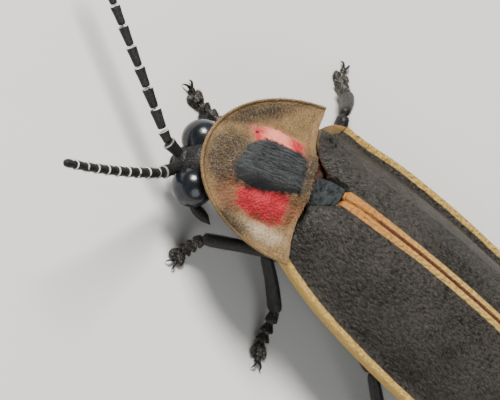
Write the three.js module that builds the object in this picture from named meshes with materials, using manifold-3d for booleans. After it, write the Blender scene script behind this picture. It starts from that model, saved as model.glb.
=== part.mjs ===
// A life-size adult firefly at rest on a flat surface, head turned to its left.
// Millimetres, +Z up. The animal faces -Y, its left side is +X, and the feet stand on z = 0.
import * as THREE from "three";
import { mergeVertices } from "three/addons/utils/BufferGeometryUtils.js";
import Module from "manifold-3d";

const wasm = await Module();
wasm.setup();

// Gaps that keep neighbouring pieces apart: plates lie over one another, limb segments meet end to end.
const PLATE_GAP = 0.08;
const JOINT_GAP = 0.05;

const PRONOTUM = {
  origin: [0.25, -0.84, 2.86],
  yaw: 16.7,
  pitch: 14,
  halfWidth: 1.95,
  length: 2.5,
  dome: 0.36,
  discHalfWidth: 1.22,
  discThickness: 0.46,
  marginThickness: 0.22,
  rimHeight: 0.05,
  rimWidth: 0.14,
};

const ELYTRON = {
  halfWidth: 2.33,
  length: 9.15,
  sutureGap: 0.035,
  discThickness: 0.45,
  marginThickness: 0.24,
  marginFrom: 0.86,
  shoulder: { x: 1.35, y: -0.4, radius: 0.42, height: 0.07 },
  knob: { x: 1.05, y: -0.84, radius: 0.14, height: 0.08 },
};

const HEAD = {
  centre: [0.88, -2.74, 1.2],
  yaw: 19.2,
  eyeSpacing: 0.58,
  eyeRadius: 0.455,
  capsule: [0.6, 0.46, 0.5],
};

const ABDOMEN = { front: 2.1, lanternFrom: 5.85, tipFrom: 7.75, back: 8.75, bottom: 1.12, sternite: 0.93 };
const THORAX = { front: -0.95, back: 2.02, bottom: 1.08 };

const COLOURS = {
  shield: [0xb0987a, 0.55],
  black: [0x17161a, 0.4],
  wing: [0x474340, 0.6],
  eye: [0x0a0b0e, 0.2],
  belly: [0x2c2725, 0.5],
  lantern: [0xd9d79a, 0.45],
  horn: [0x2f3436, 0.5],
};

const degrees = THREE.MathUtils.degToRad;
const clamp01 = (v) => Math.min(1, Math.max(0, v));
const smooth = (a, b, v) => {
  const t = clamp01((v - a) / (b - a));
  return t * t * (3 - 2 * t);
};

/** A smooth curve through pairs of (place, value), read at one place. */
function profile(pairs) {
  const last = pairs.length - 1;
  return (v) => {
    if (v <= pairs[0][0]) return pairs[0][1];
    if (v >= pairs[last][0]) return pairs[last][1];
    const i = pairs.findIndex((p, n) => n < last && v <= pairs[n + 1][0]);
    const slope = (n) => {
      if (n === 0 || n === last) return 0;
      const before = pairs[n - 1];
      const after = pairs[n + 1];
      return (after[1] - before[1]) / (after[0] - before[0]);
    };
    const [[x0, y0], [x1, y1]] = [pairs[i], pairs[i + 1]];
    const h = x1 - x0;
    const t = (v - x0) / h;
    const m0 = slope(i) * h;
    const m1 = slope(i + 1) * h;
    const t2 = t * t;
    const t3 = t2 * t;
    return (2 * t3 - 3 * t2 + 1) * y0 + (t3 - 2 * t2 + t) * m0 + (3 * t2 - 2 * t3) * y1 + (t3 - t2) * m1;
  };
}

/** The triangles of a closed surface, all turned round if they face inwards. */
function facingOut(vertices, index) {
  const corner = (n) => new THREE.Vector3().fromArray(vertices, index[n] * 3);
  let volume = 0;
  for (let i = 0; i < index.length; i += 3) volume += corner(i).dot(corner(i + 1).cross(corner(i + 2)));
  return volume > 0 ? index : index.reverse();
}

/** A closed body through rings of points that all turn the same way, with a flat cap on the first and the last. */
function loft(rings) {
  const sides = rings[0].length;
  const vertices = rings.flat().flatMap((p) => p.toArray());
  const index = [];
  for (let r = 0; r + 1 < rings.length; r++) {
    for (let s = 0; s < sides; s++) {
      const a = r * sides + s;
      const b = r * sides + ((s + 1) % sides);
      index.push(a, b, b + sides, a, b + sides, a + sides);
    }
  }
  const capOf = (start, turned) => {
    const centre = vertices.length / 3;
    const middle = new THREE.Vector3();
    for (let s = 0; s < sides; s++) middle.add(new THREE.Vector3().fromArray(vertices, (start + s) * 3));
    vertices.push(...middle.divideScalar(sides).toArray());
    for (let s = 0; s < sides; s++) {
      const next = start + ((s + 1) % sides);
      index.push(centre, turned ? next : start + s, turned ? start + s : next);
    }
  };
  capOf(0, true);
  capOf((rings.length - 1) * sides, false);
  const geometry = new THREE.BufferGeometry();
  geometry.setAttribute("position", new THREE.Float32BufferAttribute(vertices, 3));
  geometry.setIndex(facingOut(vertices, index));
  return geometry;
}

/** A closed solid of the geometry, its faces turned out. */
function solid(geometry) {
  const bare = geometry.clone();
  bare.deleteAttribute("normal");
  bare.deleteAttribute("uv");
  const merged = mergeVertices(bare, 1e-4);
  const make = (triVerts) =>
    new wasm.Manifold(new wasm.Mesh({ numProp: 3, vertProperties: merged.attributes.position.array, triVerts }));
  const triVerts = new Uint32Array(merged.index.array);
  const made = make(triVerts);
  if (made.volume() > 0) return made;
  for (let i = 0; i < triVerts.length; i += 3) [triVerts[i], triVerts[i + 1]] = [triVerts[i + 1], triVerts[i]];
  return make(triVerts);
}

/** The solids joined to one closed body: the largest surface that the join leaves. */
function join(solids) {
  const joined = solids.reduce((sum, next) => sum.add(next));
  return joined.decompose().reduce((big, next) => (next.volume() > big.volume() ? next : big));
}

/** A three.js geometry of a manifold solid. */
function geometryOf(body) {
  const mesh = body.getMesh();
  const positions = new Float32Array(mesh.numVert * 3);
  for (let v = 0; v < mesh.numVert; v++) {
    positions.set(mesh.vertProperties.subarray(v * mesh.numProp, v * mesh.numProp + 3), v * 3);
  }
  const geometry = new THREE.BufferGeometry();
  geometry.setAttribute("position", new THREE.BufferAttribute(positions, 3));
  geometry.setIndex(new THREE.BufferAttribute(mesh.triVerts, 1));
  return geometry;
}

/** A limb: rings round a smooth curve through the joints. section(t) gives [half-width, half-height] along it. */
function limb(joints, section, steps, sides, up = new THREE.Vector3(0, 0, 1)) {
  const curve = new THREE.CatmullRomCurve3(joints, false, "centripetal");
  const rings = [];
  for (const t of steps) {
    const centre = curve.getPointAt(t);
    const along = curve.getTangentAt(t);
    const side = new THREE.Vector3().crossVectors(along, up).normalize();
    const over = new THREE.Vector3().crossVectors(side, along);
    const [wide, high] = section(t);
    rings.push(
      Array.from({ length: sides }, (_, s) => {
        const angle = (2 * Math.PI * s) / sides;
        return centre
          .clone()
          .addScaledVector(side, wide * Math.cos(angle))
          .addScaledVector(over, high * Math.sin(angle));
      }),
    );
  }
  return loft(rings);
}

const spread = (count) => Array.from({ length: count + 1 }, (_, i) => i / count);

/** The frame of a piece that is turned to the left by yaw and tipped down in front by pitch. */
function frameOf(origin, yaw, pitch) {
  const turned = new THREE.Matrix4().makeRotationZ(degrees(yaw));
  turned.multiply(new THREE.Matrix4().makeRotationX(degrees(pitch)));
  return turned.setPosition(...origin);
}
const SHIELD_FRAME = frameOf(PRONOTUM.origin, PRONOTUM.yaw, PRONOTUM.pitch);
const HEAD_FRAME = frameOf(HEAD.centre, HEAD.yaw, 0);
const inHead = (x, y, z) => new THREE.Vector3(x, y, z).applyMatrix4(HEAD_FRAME);
const inShield = (x, y, z) => new THREE.Vector3(x, y, z).applyMatrix4(SHIELD_FRAME);

// Pronotum

/** The shield's outline: a half ellipse in front and a nearly straight hind edge with sharp hind angles. */
function shieldEdge(angle) {
  const { halfWidth, length } = PRONOTUM;
  if (angle <= Math.PI) return [halfWidth * Math.cos(angle), -length * Math.sin(angle)];
  const across = Math.cos(angle);
  const lobe = 0.07 * smooth(0.75, 1, 1 - across * across) - 0.05 * smooth(0.1, 0.5, 1 - across * across);
  return [halfWidth * across, lobe];
}

/** How far in from the edge a place on the shield lies, and the height of the upper face there. */
function shieldTop(x, y) {
  const { halfWidth, length, dome, discHalfWidth, rimHeight, rimWidth } = PRONOTUM;
  const round = Math.hypot(x / halfWidth, Math.min(0, y) / length);
  const inward = (1 - round) * halfWidth;
  const across = 1 - smooth(0.45, discHalfWidth, Math.abs(x));
  const along = 1 - smooth(0.5 * length, 0.86 * length, -y);
  const crown = dome * across * (0.35 + 0.65 * along) * (1 - smooth(0.8, 1, round));
  const rim = rimHeight * (1 - smooth(0, rimWidth, inward));
  const groove = 0.03 * Math.exp(-((x / 0.07) ** 2)) * along * across;
  return -dome + crown + rim - groove;
}

function pronotum(grow = 0) {
  const { dome, discThickness, marginThickness } = PRONOTUM;
  const centre = [0, -1.0];
  const around = 56;
  const rows = [0.2, 0.38, 0.54, 0.7, 0.84, 0.94, 1];
  const place = (share, n) => {
    const [ex, ey] = shieldEdge((2 * Math.PI * (n + 0.5)) / around);
    return [centre[0] + (ex - centre[0]) * share, centre[1] + (ey - centre[1]) * share];
  };
  const under = (x, y) => {
    const top = shieldTop(x, y);
    const lift = clamp01((top + dome) / dome);
    return top - marginThickness - (discThickness - marginThickness) * lift - grow;
  };
  const ring = (share, height) =>
    Array.from({ length: around }, (_, n) => {
      const [x, y] = place(share, n);
      return inShield(x, y, height(x, y));
    });
  const rim = ring(1.012 + grow / 2, (x, y) => (shieldTop(x, y) + under(x, y)) / 2);
  const above = rows.map((share) => ring(share * (1 + grow / 2), shieldTop));
  const below = rows.map((share) => ring(share * (1 + grow / 2), under)).reverse();
  return loft([...above, rim, ...below]);
}

// Elytra

const wingHalf = profile([
  [-1.1, 1.7],
  [-0.6, 1.81],
  [-0.1, 1.91],
  [0.4, 2.02],
  [1, 2.14],
  [1.8, 2.24],
  [3, 2.32],
  [4.5, ELYTRON.halfWidth],
  [6, 2.27],
  [7, 2.12],
  [8, 1.8],
  [8.7, 1.34],
  [ELYTRON.length, 0.85],
]);
const sutureHeight = profile([
  [-0.95, 2.6],
  [0, 2.86],
  [1, 3.06],
  [2, 3.22],
  [3, 3.32],
  [4.5, 3.38],
  [6, 3.34],
  [7.6, 3.08],
  [8.6, 2.72],
  [ELYTRON.length, 2.4],
]);
const marginHeight = profile([
  [-0.95, 2.3],
  [-0.35, 2.2],
  [0.5, 2.12],
  [3, 2.06],
  [6, 2.04],
  [ELYTRON.length, 2.1],
]);
const wingBase = profile([
  [0, 0.02],
  [0.1, -0.3],
  [0.22, -0.66],
  [0.4, -0.94],
  [0.6, -1.06],
  [0.78, -1.05],
  [0.93, -0.86],
  [1, -0.56],
]);
const wingEnd = (across) => ELYTRON.length - 0.5 * (1 - Math.sqrt(1 - 0.96 * across * across));

/** A place on the wing cover's upper face: across from the suture (0) to the margin (1), along from base to tip. */
function wingTop(across, along) {
  const { marginFrom, shoulder, knob, sutureGap } = ELYTRON;
  const y = wingBase(across) + (wingEnd(across) - wingBase(across)) * along;
  const x = sutureGap + (wingHalf(y) - sutureGap) * across;
  const crown = across < marginFrom ? 1 - (across / marginFrom) ** 2.5 : 0;
  const turnedUp = 0.05 * smooth(marginFrom, 1, across);
  const bump = (b) => b.height * Math.exp(-((x - b.x) ** 2 + (y - b.y) ** 2) / b.radius ** 2);
  const lip = 0.1 * (1 - smooth(0, 0.05, along)) * (1 - smooth(0.8, 1, across));
  const z = marginHeight(y) + (sutureHeight(y) - marginHeight(y)) * crown + turnedUp + bump(shoulder) + bump(knob) - lip;
  return [x, y, z];
}

const wingThickness = (across) =>
  ELYTRON.discThickness + (ELYTRON.marginThickness - ELYTRON.discThickness) * smooth(0.55, 0.95, across);

function elytron(side) {
  const acrossSteps = [0, 0.06, 0.16, 0.28, 0.4, 0.52, 0.64, 0.74, 0.82, 0.88, 0.94, 1];
  const alongSteps = [0, 0.015, 0.035, 0.06, 0.1, 0.16, 0.24, 0.33, 0.43, 0.53, 0.63, 0.72, 0.8, 0.87, 0.93, 0.97, 1];
  const rings = alongSteps.map((along) => {
    const above = acrossSteps.map((across) => wingTop(across, along));
    const below = acrossSteps.map((across) => {
      const [x, y, z] = wingTop(across, along);
      return [x, y, z - wingThickness(across)];
    });
    return [...above, ...below.reverse()].map(([x, y, z]) => new THREE.Vector3(side * x, y, z));
  });
  const whole = solid(loft(rings));
  const neighbours = [solid(pronotum(PLATE_GAP)), solid(scutellum(PLATE_GAP))];
  return geometryOf(join([neighbours.reduce((rest, next) => rest.subtract(next), whole)]));
}

// Scutellum: a small blunt wedge in the notch between the wing covers

function scutellum(grow = 0) {
  const baseCentre = new THREE.Vector3(0.23, -0.62 - grow, 2.38);
  const tipCentre = new THREE.Vector3(-0.04, 0.04 + grow, 2.76);
  const halfWidth = profile([
    [0, 0.43],
    [0.35, 0.4],
    [0.8, 0.26],
    [1, 0.17],
  ]);
  const thickness = 0.26;
  const rings = [0, 0.12, 0.35, 0.6, 0.85, 1].map((t) => {
    const centre = baseCentre.clone().lerp(tipCentre, t);
    const half = halfWidth(t) + grow;
    const crown = 0.05 * Math.sin(Math.PI * Math.min(1, t + 0.15));
    return [
      [-1, -0.05],
      [-0.6, crown],
      [0, crown * 0.6],
      [0.6, crown],
      [1, -0.05],
      [0.9, -thickness],
      [-0.9, -thickness],
    ].map(([x, z]) => new THREE.Vector3(centre.x + half * x, centre.y, centre.z + z + Math.sign(z) * grow));
  });
  return loft(rings);
}

// Thorax and belly, under the wing covers

/** A cross-section with a flat-arched back and a rounder belly, as points round the Y axis. */
function bodyRing(y, half, bottom, top, sides, shift = 0) {
  return Array.from({ length: sides }, (_, s) => {
    const angle = (2 * Math.PI * s) / sides;
    const c = Math.cos(angle);
    const d = Math.sin(angle);
    const x = half * Math.sign(c) * Math.abs(c) ** 0.75;
    const middle = bottom + (top - bottom) * 0.56;
    const z = d > 0 ? middle + (top - middle) * d ** 0.9 : middle + (middle - bottom) * Math.sign(d) * Math.abs(d) ** 0.8;
    return new THREE.Vector3(x + shift, y, z);
  });
}

/** The body without the places of its neighbours. */
function carved(geometry, places) {
  const whole = solid(geometry);
  return geometryOf(join([places.reduce((rest, place) => rest.subtract(place), whole)]));
}

const underWing = (y) => sutureHeight(y) - ELYTRON.discThickness - PLATE_GAP;

function thoraxBody(grow = 0) {
  const half = profile([
    [THORAX.front, 0.6],
    [-0.55, 0.68],
    [-0.35, 0.98],
    [0, 1.18],
    [1, 1.42],
    [THORAX.back, 1.5],
  ]);
  const rings = [THORAX.front, -0.55, -0.35, 0, 0.5, 1, 1.5, THORAX.back].map((y) => {
    const bottom = THORAX.bottom + 0.25 * (1 - smooth(-0.6, 0, y));
    const top = Math.min(2.06, underWing(y)) - 0.25 * (1 - smooth(-0.6, 0, y));
    return bodyRing(y - grow, half(y) + grow, bottom - grow, top + grow, 20, 0.1 * (1 - smooth(-0.9, 0, y)));
  });
  return loft(rings);
}

function thorax() {
  const hips = [LEGS.middle_left, LEGS.middle_right, LEGS.hind_left, LEGS.hind_right];
  return carved(thoraxBody(), hips.map(socket));
}

const bellyHalf = profile([
  [2, 1.52],
  [3.5, 1.66],
  [5, 1.66],
  [6.5, 1.5],
  [7.6, 1.15],
  [8.3, 0.72],
  [8.8, 0.3],
]);

/** One length of the belly, with a step in its lower face at every sternite's hind edge. */
function belly(from, to) {
  const rings = [];
  const { sternite, bottom } = ABDOMEN;
  const count = Math.max(1, Math.round((to - from) / sternite));
  const length = (to - from) / count;
  const ringAt = (y, step) => {
    const half = bellyHalf(y) * (1 + step * 0.02);
    const rise = 0.35 * smooth(6.3, 8.9, y);
    const top = Math.min(2.36, underWing(y)) - 0.25 * smooth(7, 8.8, y);
    rings.push(bodyRing(y, half, bottom + rise - step * 0.045, top, 20));
  };
  for (let n = 0; n < count; n++) {
    const start = from + n * length;
    ringAt(start, 0);
    ringAt(start + 0.55 * length, 0.7);
    ringAt(start + 0.94 * length, 1);
  }
  ringAt(to, 0);
  return carved(loft(rings), [socket(LEGS.hind_left), socket(LEGS.hind_right)]);
}

function prothorax() {
  const rings = [
    [-2.0, 0.5, -1.2, -0.64],
    [-1.75, 0.72, -1.38, -0.6],
    [-1.2, 0.86, -1.5, -0.55],
    [-0.6, 0.88, -1.56, -0.76],
    [-0.1, 0.8, -1.5, -0.92],
  ].map(([y, half, bottom, top]) => bodyRing(y, half, bottom, top, 18).map((p) => inShield(p.x, p.y, p.z)));
  const face = [solid(capsule(JOINT_GAP)), solid(eye(-1, JOINT_GAP)), solid(eye(1, JOINT_GAP))];
  return carved(loft(rings), [...face, ...[LEGS.front_left, LEGS.front_right].map(socket), solid(thoraxBody(JOINT_GAP))]);
}

// Head

const eyeCentre = (side) => inHead(side * HEAD.eyeSpacing, 0, 0);

function ball(radius, centre, scale = [1, 1, 1], detail = [20, 14]) {
  const geometry = new THREE.SphereGeometry(radius, ...detail);
  geometry.scale(...scale);
  return geometry.applyMatrix4(new THREE.Matrix4().makeRotationZ(degrees(HEAD.yaw)).setPosition(centre));
}

const eye = (side, grow = 0) => ball(HEAD.eyeRadius + grow, eyeCentre(side), [1, 1.04, 1.04], [20, 12]);
const capsule = (grow = 0) => ball(1, inHead(0, 0.08, 0), HEAD.capsule.map((v) => v + grow), [20, 12]);

function skull(grow = 0) {
  const brow = ball(1, inHead(0, -0.2, -0.16), [0.36, 0.3, 0.3].map((v) => v + grow), [12, 8]);
  const snout = ball(1, inHead(0, -0.2, -0.42), [0.3, 0.22, 0.24].map((v) => v + grow), [12, 7]);
  return geometryOf(join([capsule(grow), brow, snout].map(solid)));
}

const eyeSpace = (side) => solid(eye(side, JOINT_GAP));
const head = () => carved(skull(), [-1, 1].map(eyeSpace));
const offHead = (geometry) => carved(geometry, [solid(skull(JOINT_GAP)), eyeSpace(-1), eyeSpace(1)]);

function mandible(side) {
  const root = inHead(side * 0.13, -0.16, -0.5);
  const bend = inHead(side * 0.15, -0.26, -0.68);
  const tip = inHead(side * 0.09, -0.32, -0.84);
  return limb([root, bend, tip], (t) => [0.065 - 0.04 * t, 0.055 - 0.03 * t], spread(3), 8);
}

/** A palp: short beads and a long pointed last joint. */
function palp(points) {
  const width = profile([
    [0, 0.07],
    [0.2, 0.1],
    [0.24, 0.07],
    [0.45, 0.11],
    [0.5, 0.07],
    [0.68, 0.13],
    [0.85, 0.11],
    [1, 0.02],
  ]);
  const steps = [0, 0.12, 0.2, 0.24, 0.36, 0.45, 0.5, 0.58, 0.68, 0.8, 0.9, 1];
  return limb(points, (t) => [width(t), width(t) * 0.8], steps, 10);
}

// Antennae: eleven joints, each a cone that widens to a rim at its far end

const FEELER = {
  scape: 0.42,
  pedicel: 0.24,
  joint: 0.49,
  jointCount: 9,
  rootRadius: 0.1,
};

/** Radius along a row of joints: thin at the start of each, thick at its end. */
function feelerRadii(lengths, thick) {
  const steps = [];
  const total = lengths.reduce((sum, l) => sum + l, 0);
  let start = 0;
  lengths.forEach((length, n) => {
    const taper = thick(n);
    const last = n === lengths.length - 1;
    for (const [share, size] of [
      [0.02, 0.62],
      [0.3, 0.86],
      [0.88, last ? 0.6 : 1],
      [0.98, last ? 0.2 : 0.8],
    ]) {
      steps.push([(start + length * share) / total, size * taper]);
    }
    start += length;
  });
  return steps;
}

function feeler(points, lengths, thick) {
  const steps = feelerRadii(lengths, thick);
  const at = new Map(steps);
  const section = (t) => [at.get(t), at.get(t) * 0.86];
  return limb(points, section, [...at.keys()], 9, new THREE.Vector3(0.2, 0.1, 1));
}

// Legs: coxa, femur, tibia and tarsus, from the joints of each leg in the body's frame

const LEGS = {
  front_left: { hip: [0.92, -1.78, 1.22], trochanter: [1.0, -1.66, 0.92], knee: [1.66, -0.27, 1.82], ankle: [1.88, -1.48, 0.62], toe: [2.48, -1.6, 0.13] },
  front_right: { hip: [0.22, -2.0, 1.22], trochanter: [0.06, -1.98, 0.9], knee: [-1.25, -1.18, 1.72], ankle: [-0.78, -2.36, 0.56], toe: [-1.2, -3.42, 0.13] },
  middle_left: { hip: [0.4, 0.5, 1.0], trochanter: [0.5, 0.62, 0.7], knee: [1.55, -0.31, 1.38], ankle: [1.95, 0.93, 0.52], toe: [2.98, 1.36, 0.13] },
  middle_right: { hip: [-0.4, 0.45, 1.0], trochanter: [-0.6, 0.42, 0.72], knee: [-2.5, -0.52, 1.62], ankle: [-3.6, -0.28, 0.56], toe: [-4.46, -0.5, 0.13] },
  hind_left: { hip: [0.45, 1.75, 0.98], trochanter: [0.68, 1.85, 0.74], knee: [2.0, 3.3, 1.46], ankle: [2.8, 5.0, 0.5], toe: [3.3, 6.1, 0.13] },
  hind_right: { hip: [-0.45, 1.75, 0.98], trochanter: [-0.68, 1.85, 0.74], knee: [-1.8, 3.45, 1.42], ankle: [-2.5, 5.15, 0.5], toe: [-2.9, 6.3, 0.13] },
};
const point = (p) => new THREE.Vector3(...p);

/** The stretch of the line a-b that leaves the given lengths free at its two ends. */
function between(a, b, freeStart, freeEnd) {
  const along = b.clone().sub(a).normalize();
  return [a.clone().addScaledVector(along, freeStart), b.clone().addScaledVector(along, -freeEnd)];
}

function coxa(leg, grow = 0) {
  const [from, to] = between(point(leg.hip), point(leg.trochanter), -grow, 0.08 - grow);
  return limb([from, to], (t) => [0.25 - 0.06 * t * t + grow, 0.23 - 0.06 * t * t + grow], [0, 0.3, 0.7, 0.92, 1], 12, new THREE.Vector3(0, 1, 0.1));
}

/** The place that a coxa takes in the body above it. */
const socket = (leg) => solid(coxa(leg, JOINT_GAP)).add(solid(thigh(leg, JOINT_GAP)));

function thigh(leg, grow = 0) {
  const [from, to] = between(point(leg.trochanter), point(leg.knee), 0.02 - grow, -grow);
  const width = profile([
    [0, 0.13],
    [0.12, 0.17],
    [0.45, 0.24],
    [0.8, 0.2],
    [0.95, 0.17],
    [1, 0.1],
  ]);
  return limb([from, to], (t) => [width(t) * 0.8 + grow, width(t) + grow], [0, 0.12, 0.28, 0.45, 0.64, 0.8, 0.94, 1], 12);
}

const femur = (leg) => carved(thigh(leg), [solid(coxa(leg, JOINT_GAP))]);

function shin(leg, grow = 0) {
  const [from, to] = between(point(leg.knee), point(leg.ankle), -grow, -grow);
  const bow = from.clone().lerp(to, 0.5).add(new THREE.Vector3(0, 0, 0.05));
  const width = profile([
    [0, 0.11],
    [0.1, 0.15],
    [0.5, 0.17],
    [0.9, 0.18],
    [1, 0.15],
  ]);
  const steps = [0, 0.08, 0.25, 0.45, 0.65, 0.82, 0.94, 1];
  return limb([from, bow, to], (t) => [width(t) * 0.78 + grow, width(t) + grow], steps, 12);
}

const tibia = (leg) => carved(shin(leg), [solid(thigh(leg, JOINT_GAP))]);

const SOLE = 0.0;
const TARSUS = { thick: 0.085 };

/** Five foot joints that come down to the floor, a cleft fourth joint, and two claws. Its sole is flat on z = 0. */
function tarsus(leg) {
  const ankle = point(leg.ankle);
  const toe = point(leg.toe);
  const along = toe.clone().sub(ankle);
  const flat = new THREE.Vector3(along.x, along.y, 0).normalize();
  const reach = Math.hypot(along.x, along.y);
  const heel = ankle.clone().lerp(toe, 0.5 * Math.min(1, reach / 0.8)).setZ(TARSUS.thick + 0.1);
  const pad = toe.clone().addScaledVector(flat, -Math.min(0.36, 0.42 * reach)).setZ(TARSUS.thick);
  const end = toe.clone().setZ(TARSUS.thick);
  const width = profile([
    [0, 0.1],
    [0.2, 0.13],
    [0.24, 0.1],
    [0.4, 0.14],
    [0.44, 0.1],
    [0.58, 0.15],
    [0.62, 0.1],
    [0.72, 0.14],
    [0.85, 0.1],
    [1, 0.08],
  ]);
  const steps = [0, 0.1, 0.2, 0.24, 0.34, 0.4, 0.44, 0.52, 0.58, 0.62, 0.72, 0.85, 1];
  const stem = solid(limb([ankle, heel, pad, end], (t) => [width(t), width(t) * 0.86], steps, 8));
  const across = new THREE.Vector3(-flat.y, flat.x, 0);
  const lobes = [-1, 1].map((side) => {
    const root = pad.clone().addScaledVector(flat, -0.08);
    const tip = pad.clone().addScaledVector(flat, 0.24).addScaledVector(across, side * 0.17).setZ(0.045);
    return solid(limb([root, tip], (t) => [0.07 + 0.05 * Math.sin(Math.PI * (0.2 + 0.7 * t)), 0.075], spread(2), 6));
  });
  const claws = [-1, 1].map((side) => {
    const root = end.clone().addScaledVector(flat, -0.05);
    const bend = end.clone().addScaledVector(flat, 0.1).addScaledVector(across, side * 0.08).setZ(0.13);
    const tip = end.clone().addScaledVector(flat, 0.18).addScaledVector(across, side * 0.12).setZ(0.03);
    return solid(limb([root, bend, tip], (t) => [0.05 - 0.035 * t, 0.05 - 0.035 * t], spread(3), 5));
  });
  const whole = join([stem, ...lobes, ...claws]).subtract(solid(shin(leg, JOINT_GAP)));
  return geometryOf(join([whole.trimByPlane([0, 0, 1], SOLE)]));
}

// The whole animal

const group = new THREE.Group();

function add(name, geometry, [colour, roughness]) {
  const material = new THREE.MeshStandardMaterial({ color: colour, roughness, metalness: 0 });
  const mesh = new THREE.Mesh(geometry, material);
  mesh.name = name;
  group.add(mesh);
}

add("pronotum", pronotum(), COLOURS.shield);
add("scutellum", scutellum(), COLOURS.horn);
add("elytron_left", elytron(1), COLOURS.wing);
add("elytron_right", elytron(-1), COLOURS.wing);
add("prothorax", prothorax(), COLOURS.belly);
add("thorax", thorax(), COLOURS.belly);
add("abdomen", belly(ABDOMEN.front, ABDOMEN.lanternFrom - PLATE_GAP), COLOURS.belly);
add("lantern", belly(ABDOMEN.lanternFrom, ABDOMEN.tipFrom - PLATE_GAP), COLOURS.lantern);
add("abdomen_tip", belly(ABDOMEN.tipFrom, ABDOMEN.back), COLOURS.belly);
add("head", head(), COLOURS.black);

for (const [word, side] of [
  ["left", 1],
  ["right", -1],
]) {
  add(`eye_${word}`, eye(side), COLOURS.eye);
  add(`mandible_${word}`, offHead(mandible(side)), COLOURS.black);
}

add(
  "palp_left",
  offHead(palp([inHead(0.16, -0.14, -0.52), point([1.38, -2.38, 0.62]), point([1.54, -1.95, 0.8]), point([1.66, -1.6, 0.9])])),
  COLOURS.black,
);
add(
  "palp_right",
  offHead(palp([inHead(-0.16, -0.14, -0.52), inHead(-0.42, 0.12, -0.72), inHead(-0.6, 0.4, -0.76), inHead(-0.72, 0.7, -0.7)])),
  COLOURS.black,
);

const ANTENNAE = {
  right: [
    [0.96, -3.16, 1.1],
    [0.98, -3.57, 1.18],
    [0.863, -3.818, 1.2],
  ],
  left: [
    [1.28, -3.08, 1.12],
    [1.7, -3.33, 1.24],
    [1.866, -3.466, 1.32],
  ],
};
const FEELER_STEPS = {
  right: [-0.243, -0.425, 0.033],
  left: [0.31, -0.272, 0.214],
};
const FEELER_BENDS = { right: [0, 0, -0.12], left: [-0.16, -0.14, 0.05] };

for (const word of ["left", "right"]) {
  const [root, scapeEnd, pedicelEnd] = ANTENNAE[word].map(point);
  const step = point(FEELER_STEPS[word]);
  const start = pedicelEnd.clone().addScaledVector(step.clone().normalize(), JOINT_GAP);
  const bend = point(FEELER_BENDS[word]);
  const points = [0, 3, 6, 9].map((n) => start.clone().addScaledVector(step, n).addScaledVector(bend, (n / 9) ** 2));
  const base = feeler([root, scapeEnd, pedicelEnd], [FEELER.scape, FEELER.pedicel], (n) => (n === 0 ? 0.14 : 0.12));
  const flagellum = feeler(points, Array(FEELER.jointCount).fill(FEELER.joint), (n) => 0.128 - 0.003 * n);
  add(`antenna_${word}_base`, offHead(base), COLOURS.black);
  add(`antenna_${word}_flagellum`, flagellum, COLOURS.black);
}

for (const [word, leg] of Object.entries(LEGS)) {
  add(`leg_${word}_coxa`, coxa(leg), COLOURS.black);
  add(`leg_${word}_femur`, femur(leg), COLOURS.black);
  add(`leg_${word}_tibia`, tibia(leg), COLOURS.black);
  add(`leg_${word}_tarsus`, tarsus(leg), COLOURS.black);
}

// The places above are measured from under the scutellum's tip. The part's origin is the middle of its box's floor.
const middle = new THREE.Box3().setFromObject(group).getCenter(new THREE.Vector3());
group.position.set(-middle.x, -middle.y, 0);

export default group;
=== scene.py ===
"""A life-size firefly at rest, dressed for a museum case.

Lengths in this file are millimetres in the animal's own frame, and turn into metres when a mesh is made.
The frame's zero is on the floor under the tip of the scutellum. The animal faces -Y, its left side is +X
and +Z is up.
"""
import logging
import math
from dataclasses import dataclass, field
from enum import Enum
from typing import Callable, Optional, Sequence, Union

import bpy
import numpy as np
from mathutils import Matrix, Vector


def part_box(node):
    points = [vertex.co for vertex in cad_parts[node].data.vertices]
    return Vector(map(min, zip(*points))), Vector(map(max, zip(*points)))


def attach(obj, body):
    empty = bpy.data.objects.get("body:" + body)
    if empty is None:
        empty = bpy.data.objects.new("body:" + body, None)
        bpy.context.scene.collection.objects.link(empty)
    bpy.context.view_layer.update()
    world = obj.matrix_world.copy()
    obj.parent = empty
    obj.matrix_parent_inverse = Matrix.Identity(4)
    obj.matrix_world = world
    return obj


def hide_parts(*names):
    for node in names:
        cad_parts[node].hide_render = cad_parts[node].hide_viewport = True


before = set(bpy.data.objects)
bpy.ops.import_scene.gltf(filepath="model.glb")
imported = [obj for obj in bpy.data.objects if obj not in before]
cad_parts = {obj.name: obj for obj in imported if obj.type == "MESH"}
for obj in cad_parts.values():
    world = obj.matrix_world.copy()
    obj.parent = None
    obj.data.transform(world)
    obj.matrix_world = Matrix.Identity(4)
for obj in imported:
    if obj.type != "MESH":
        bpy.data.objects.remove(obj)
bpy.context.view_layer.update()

log = logging.getLogger("firefly")
Array = np.ndarray
Point = tuple[float, float, float]
Colour = tuple[float, float, float]
MM = 0.001
SEED = 1580


class Side(Enum):
    """A side of the animal, with the sign of its X."""

    LEFT = 1
    RIGHT = -1

    @property
    def word(self) -> str:
        """The side's name in a node's name."""
        return self.name.lower()


class Slot(Enum):
    """The finishes named in the part's record."""

    SHIELD = "shield"
    WING = "wing_cover"
    BLACK = "black_cuticle"
    EYE = "eye"
    SCUTELLUM = "scutellum"
    BELLY = "belly"
    PALE = "pale_segment"


# Curves and frames


STRAIGHT_STEPS = 50
CURVE_STEPS = 60


def smooth(low: float, high: float, value: Union[float, Array]) -> Array:
    """A soft step from 0 at low to 1 at high."""
    share = np.clip((np.asarray(value, float) - low) / (high - low), 0, 1)
    return share * share * (3 - 2 * share)


def bell(value: Array, middle: float, width: float) -> Array:
    """A round hill of height 1 over the middle."""
    return np.exp(-(((value - middle) / width) ** 2))


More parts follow.
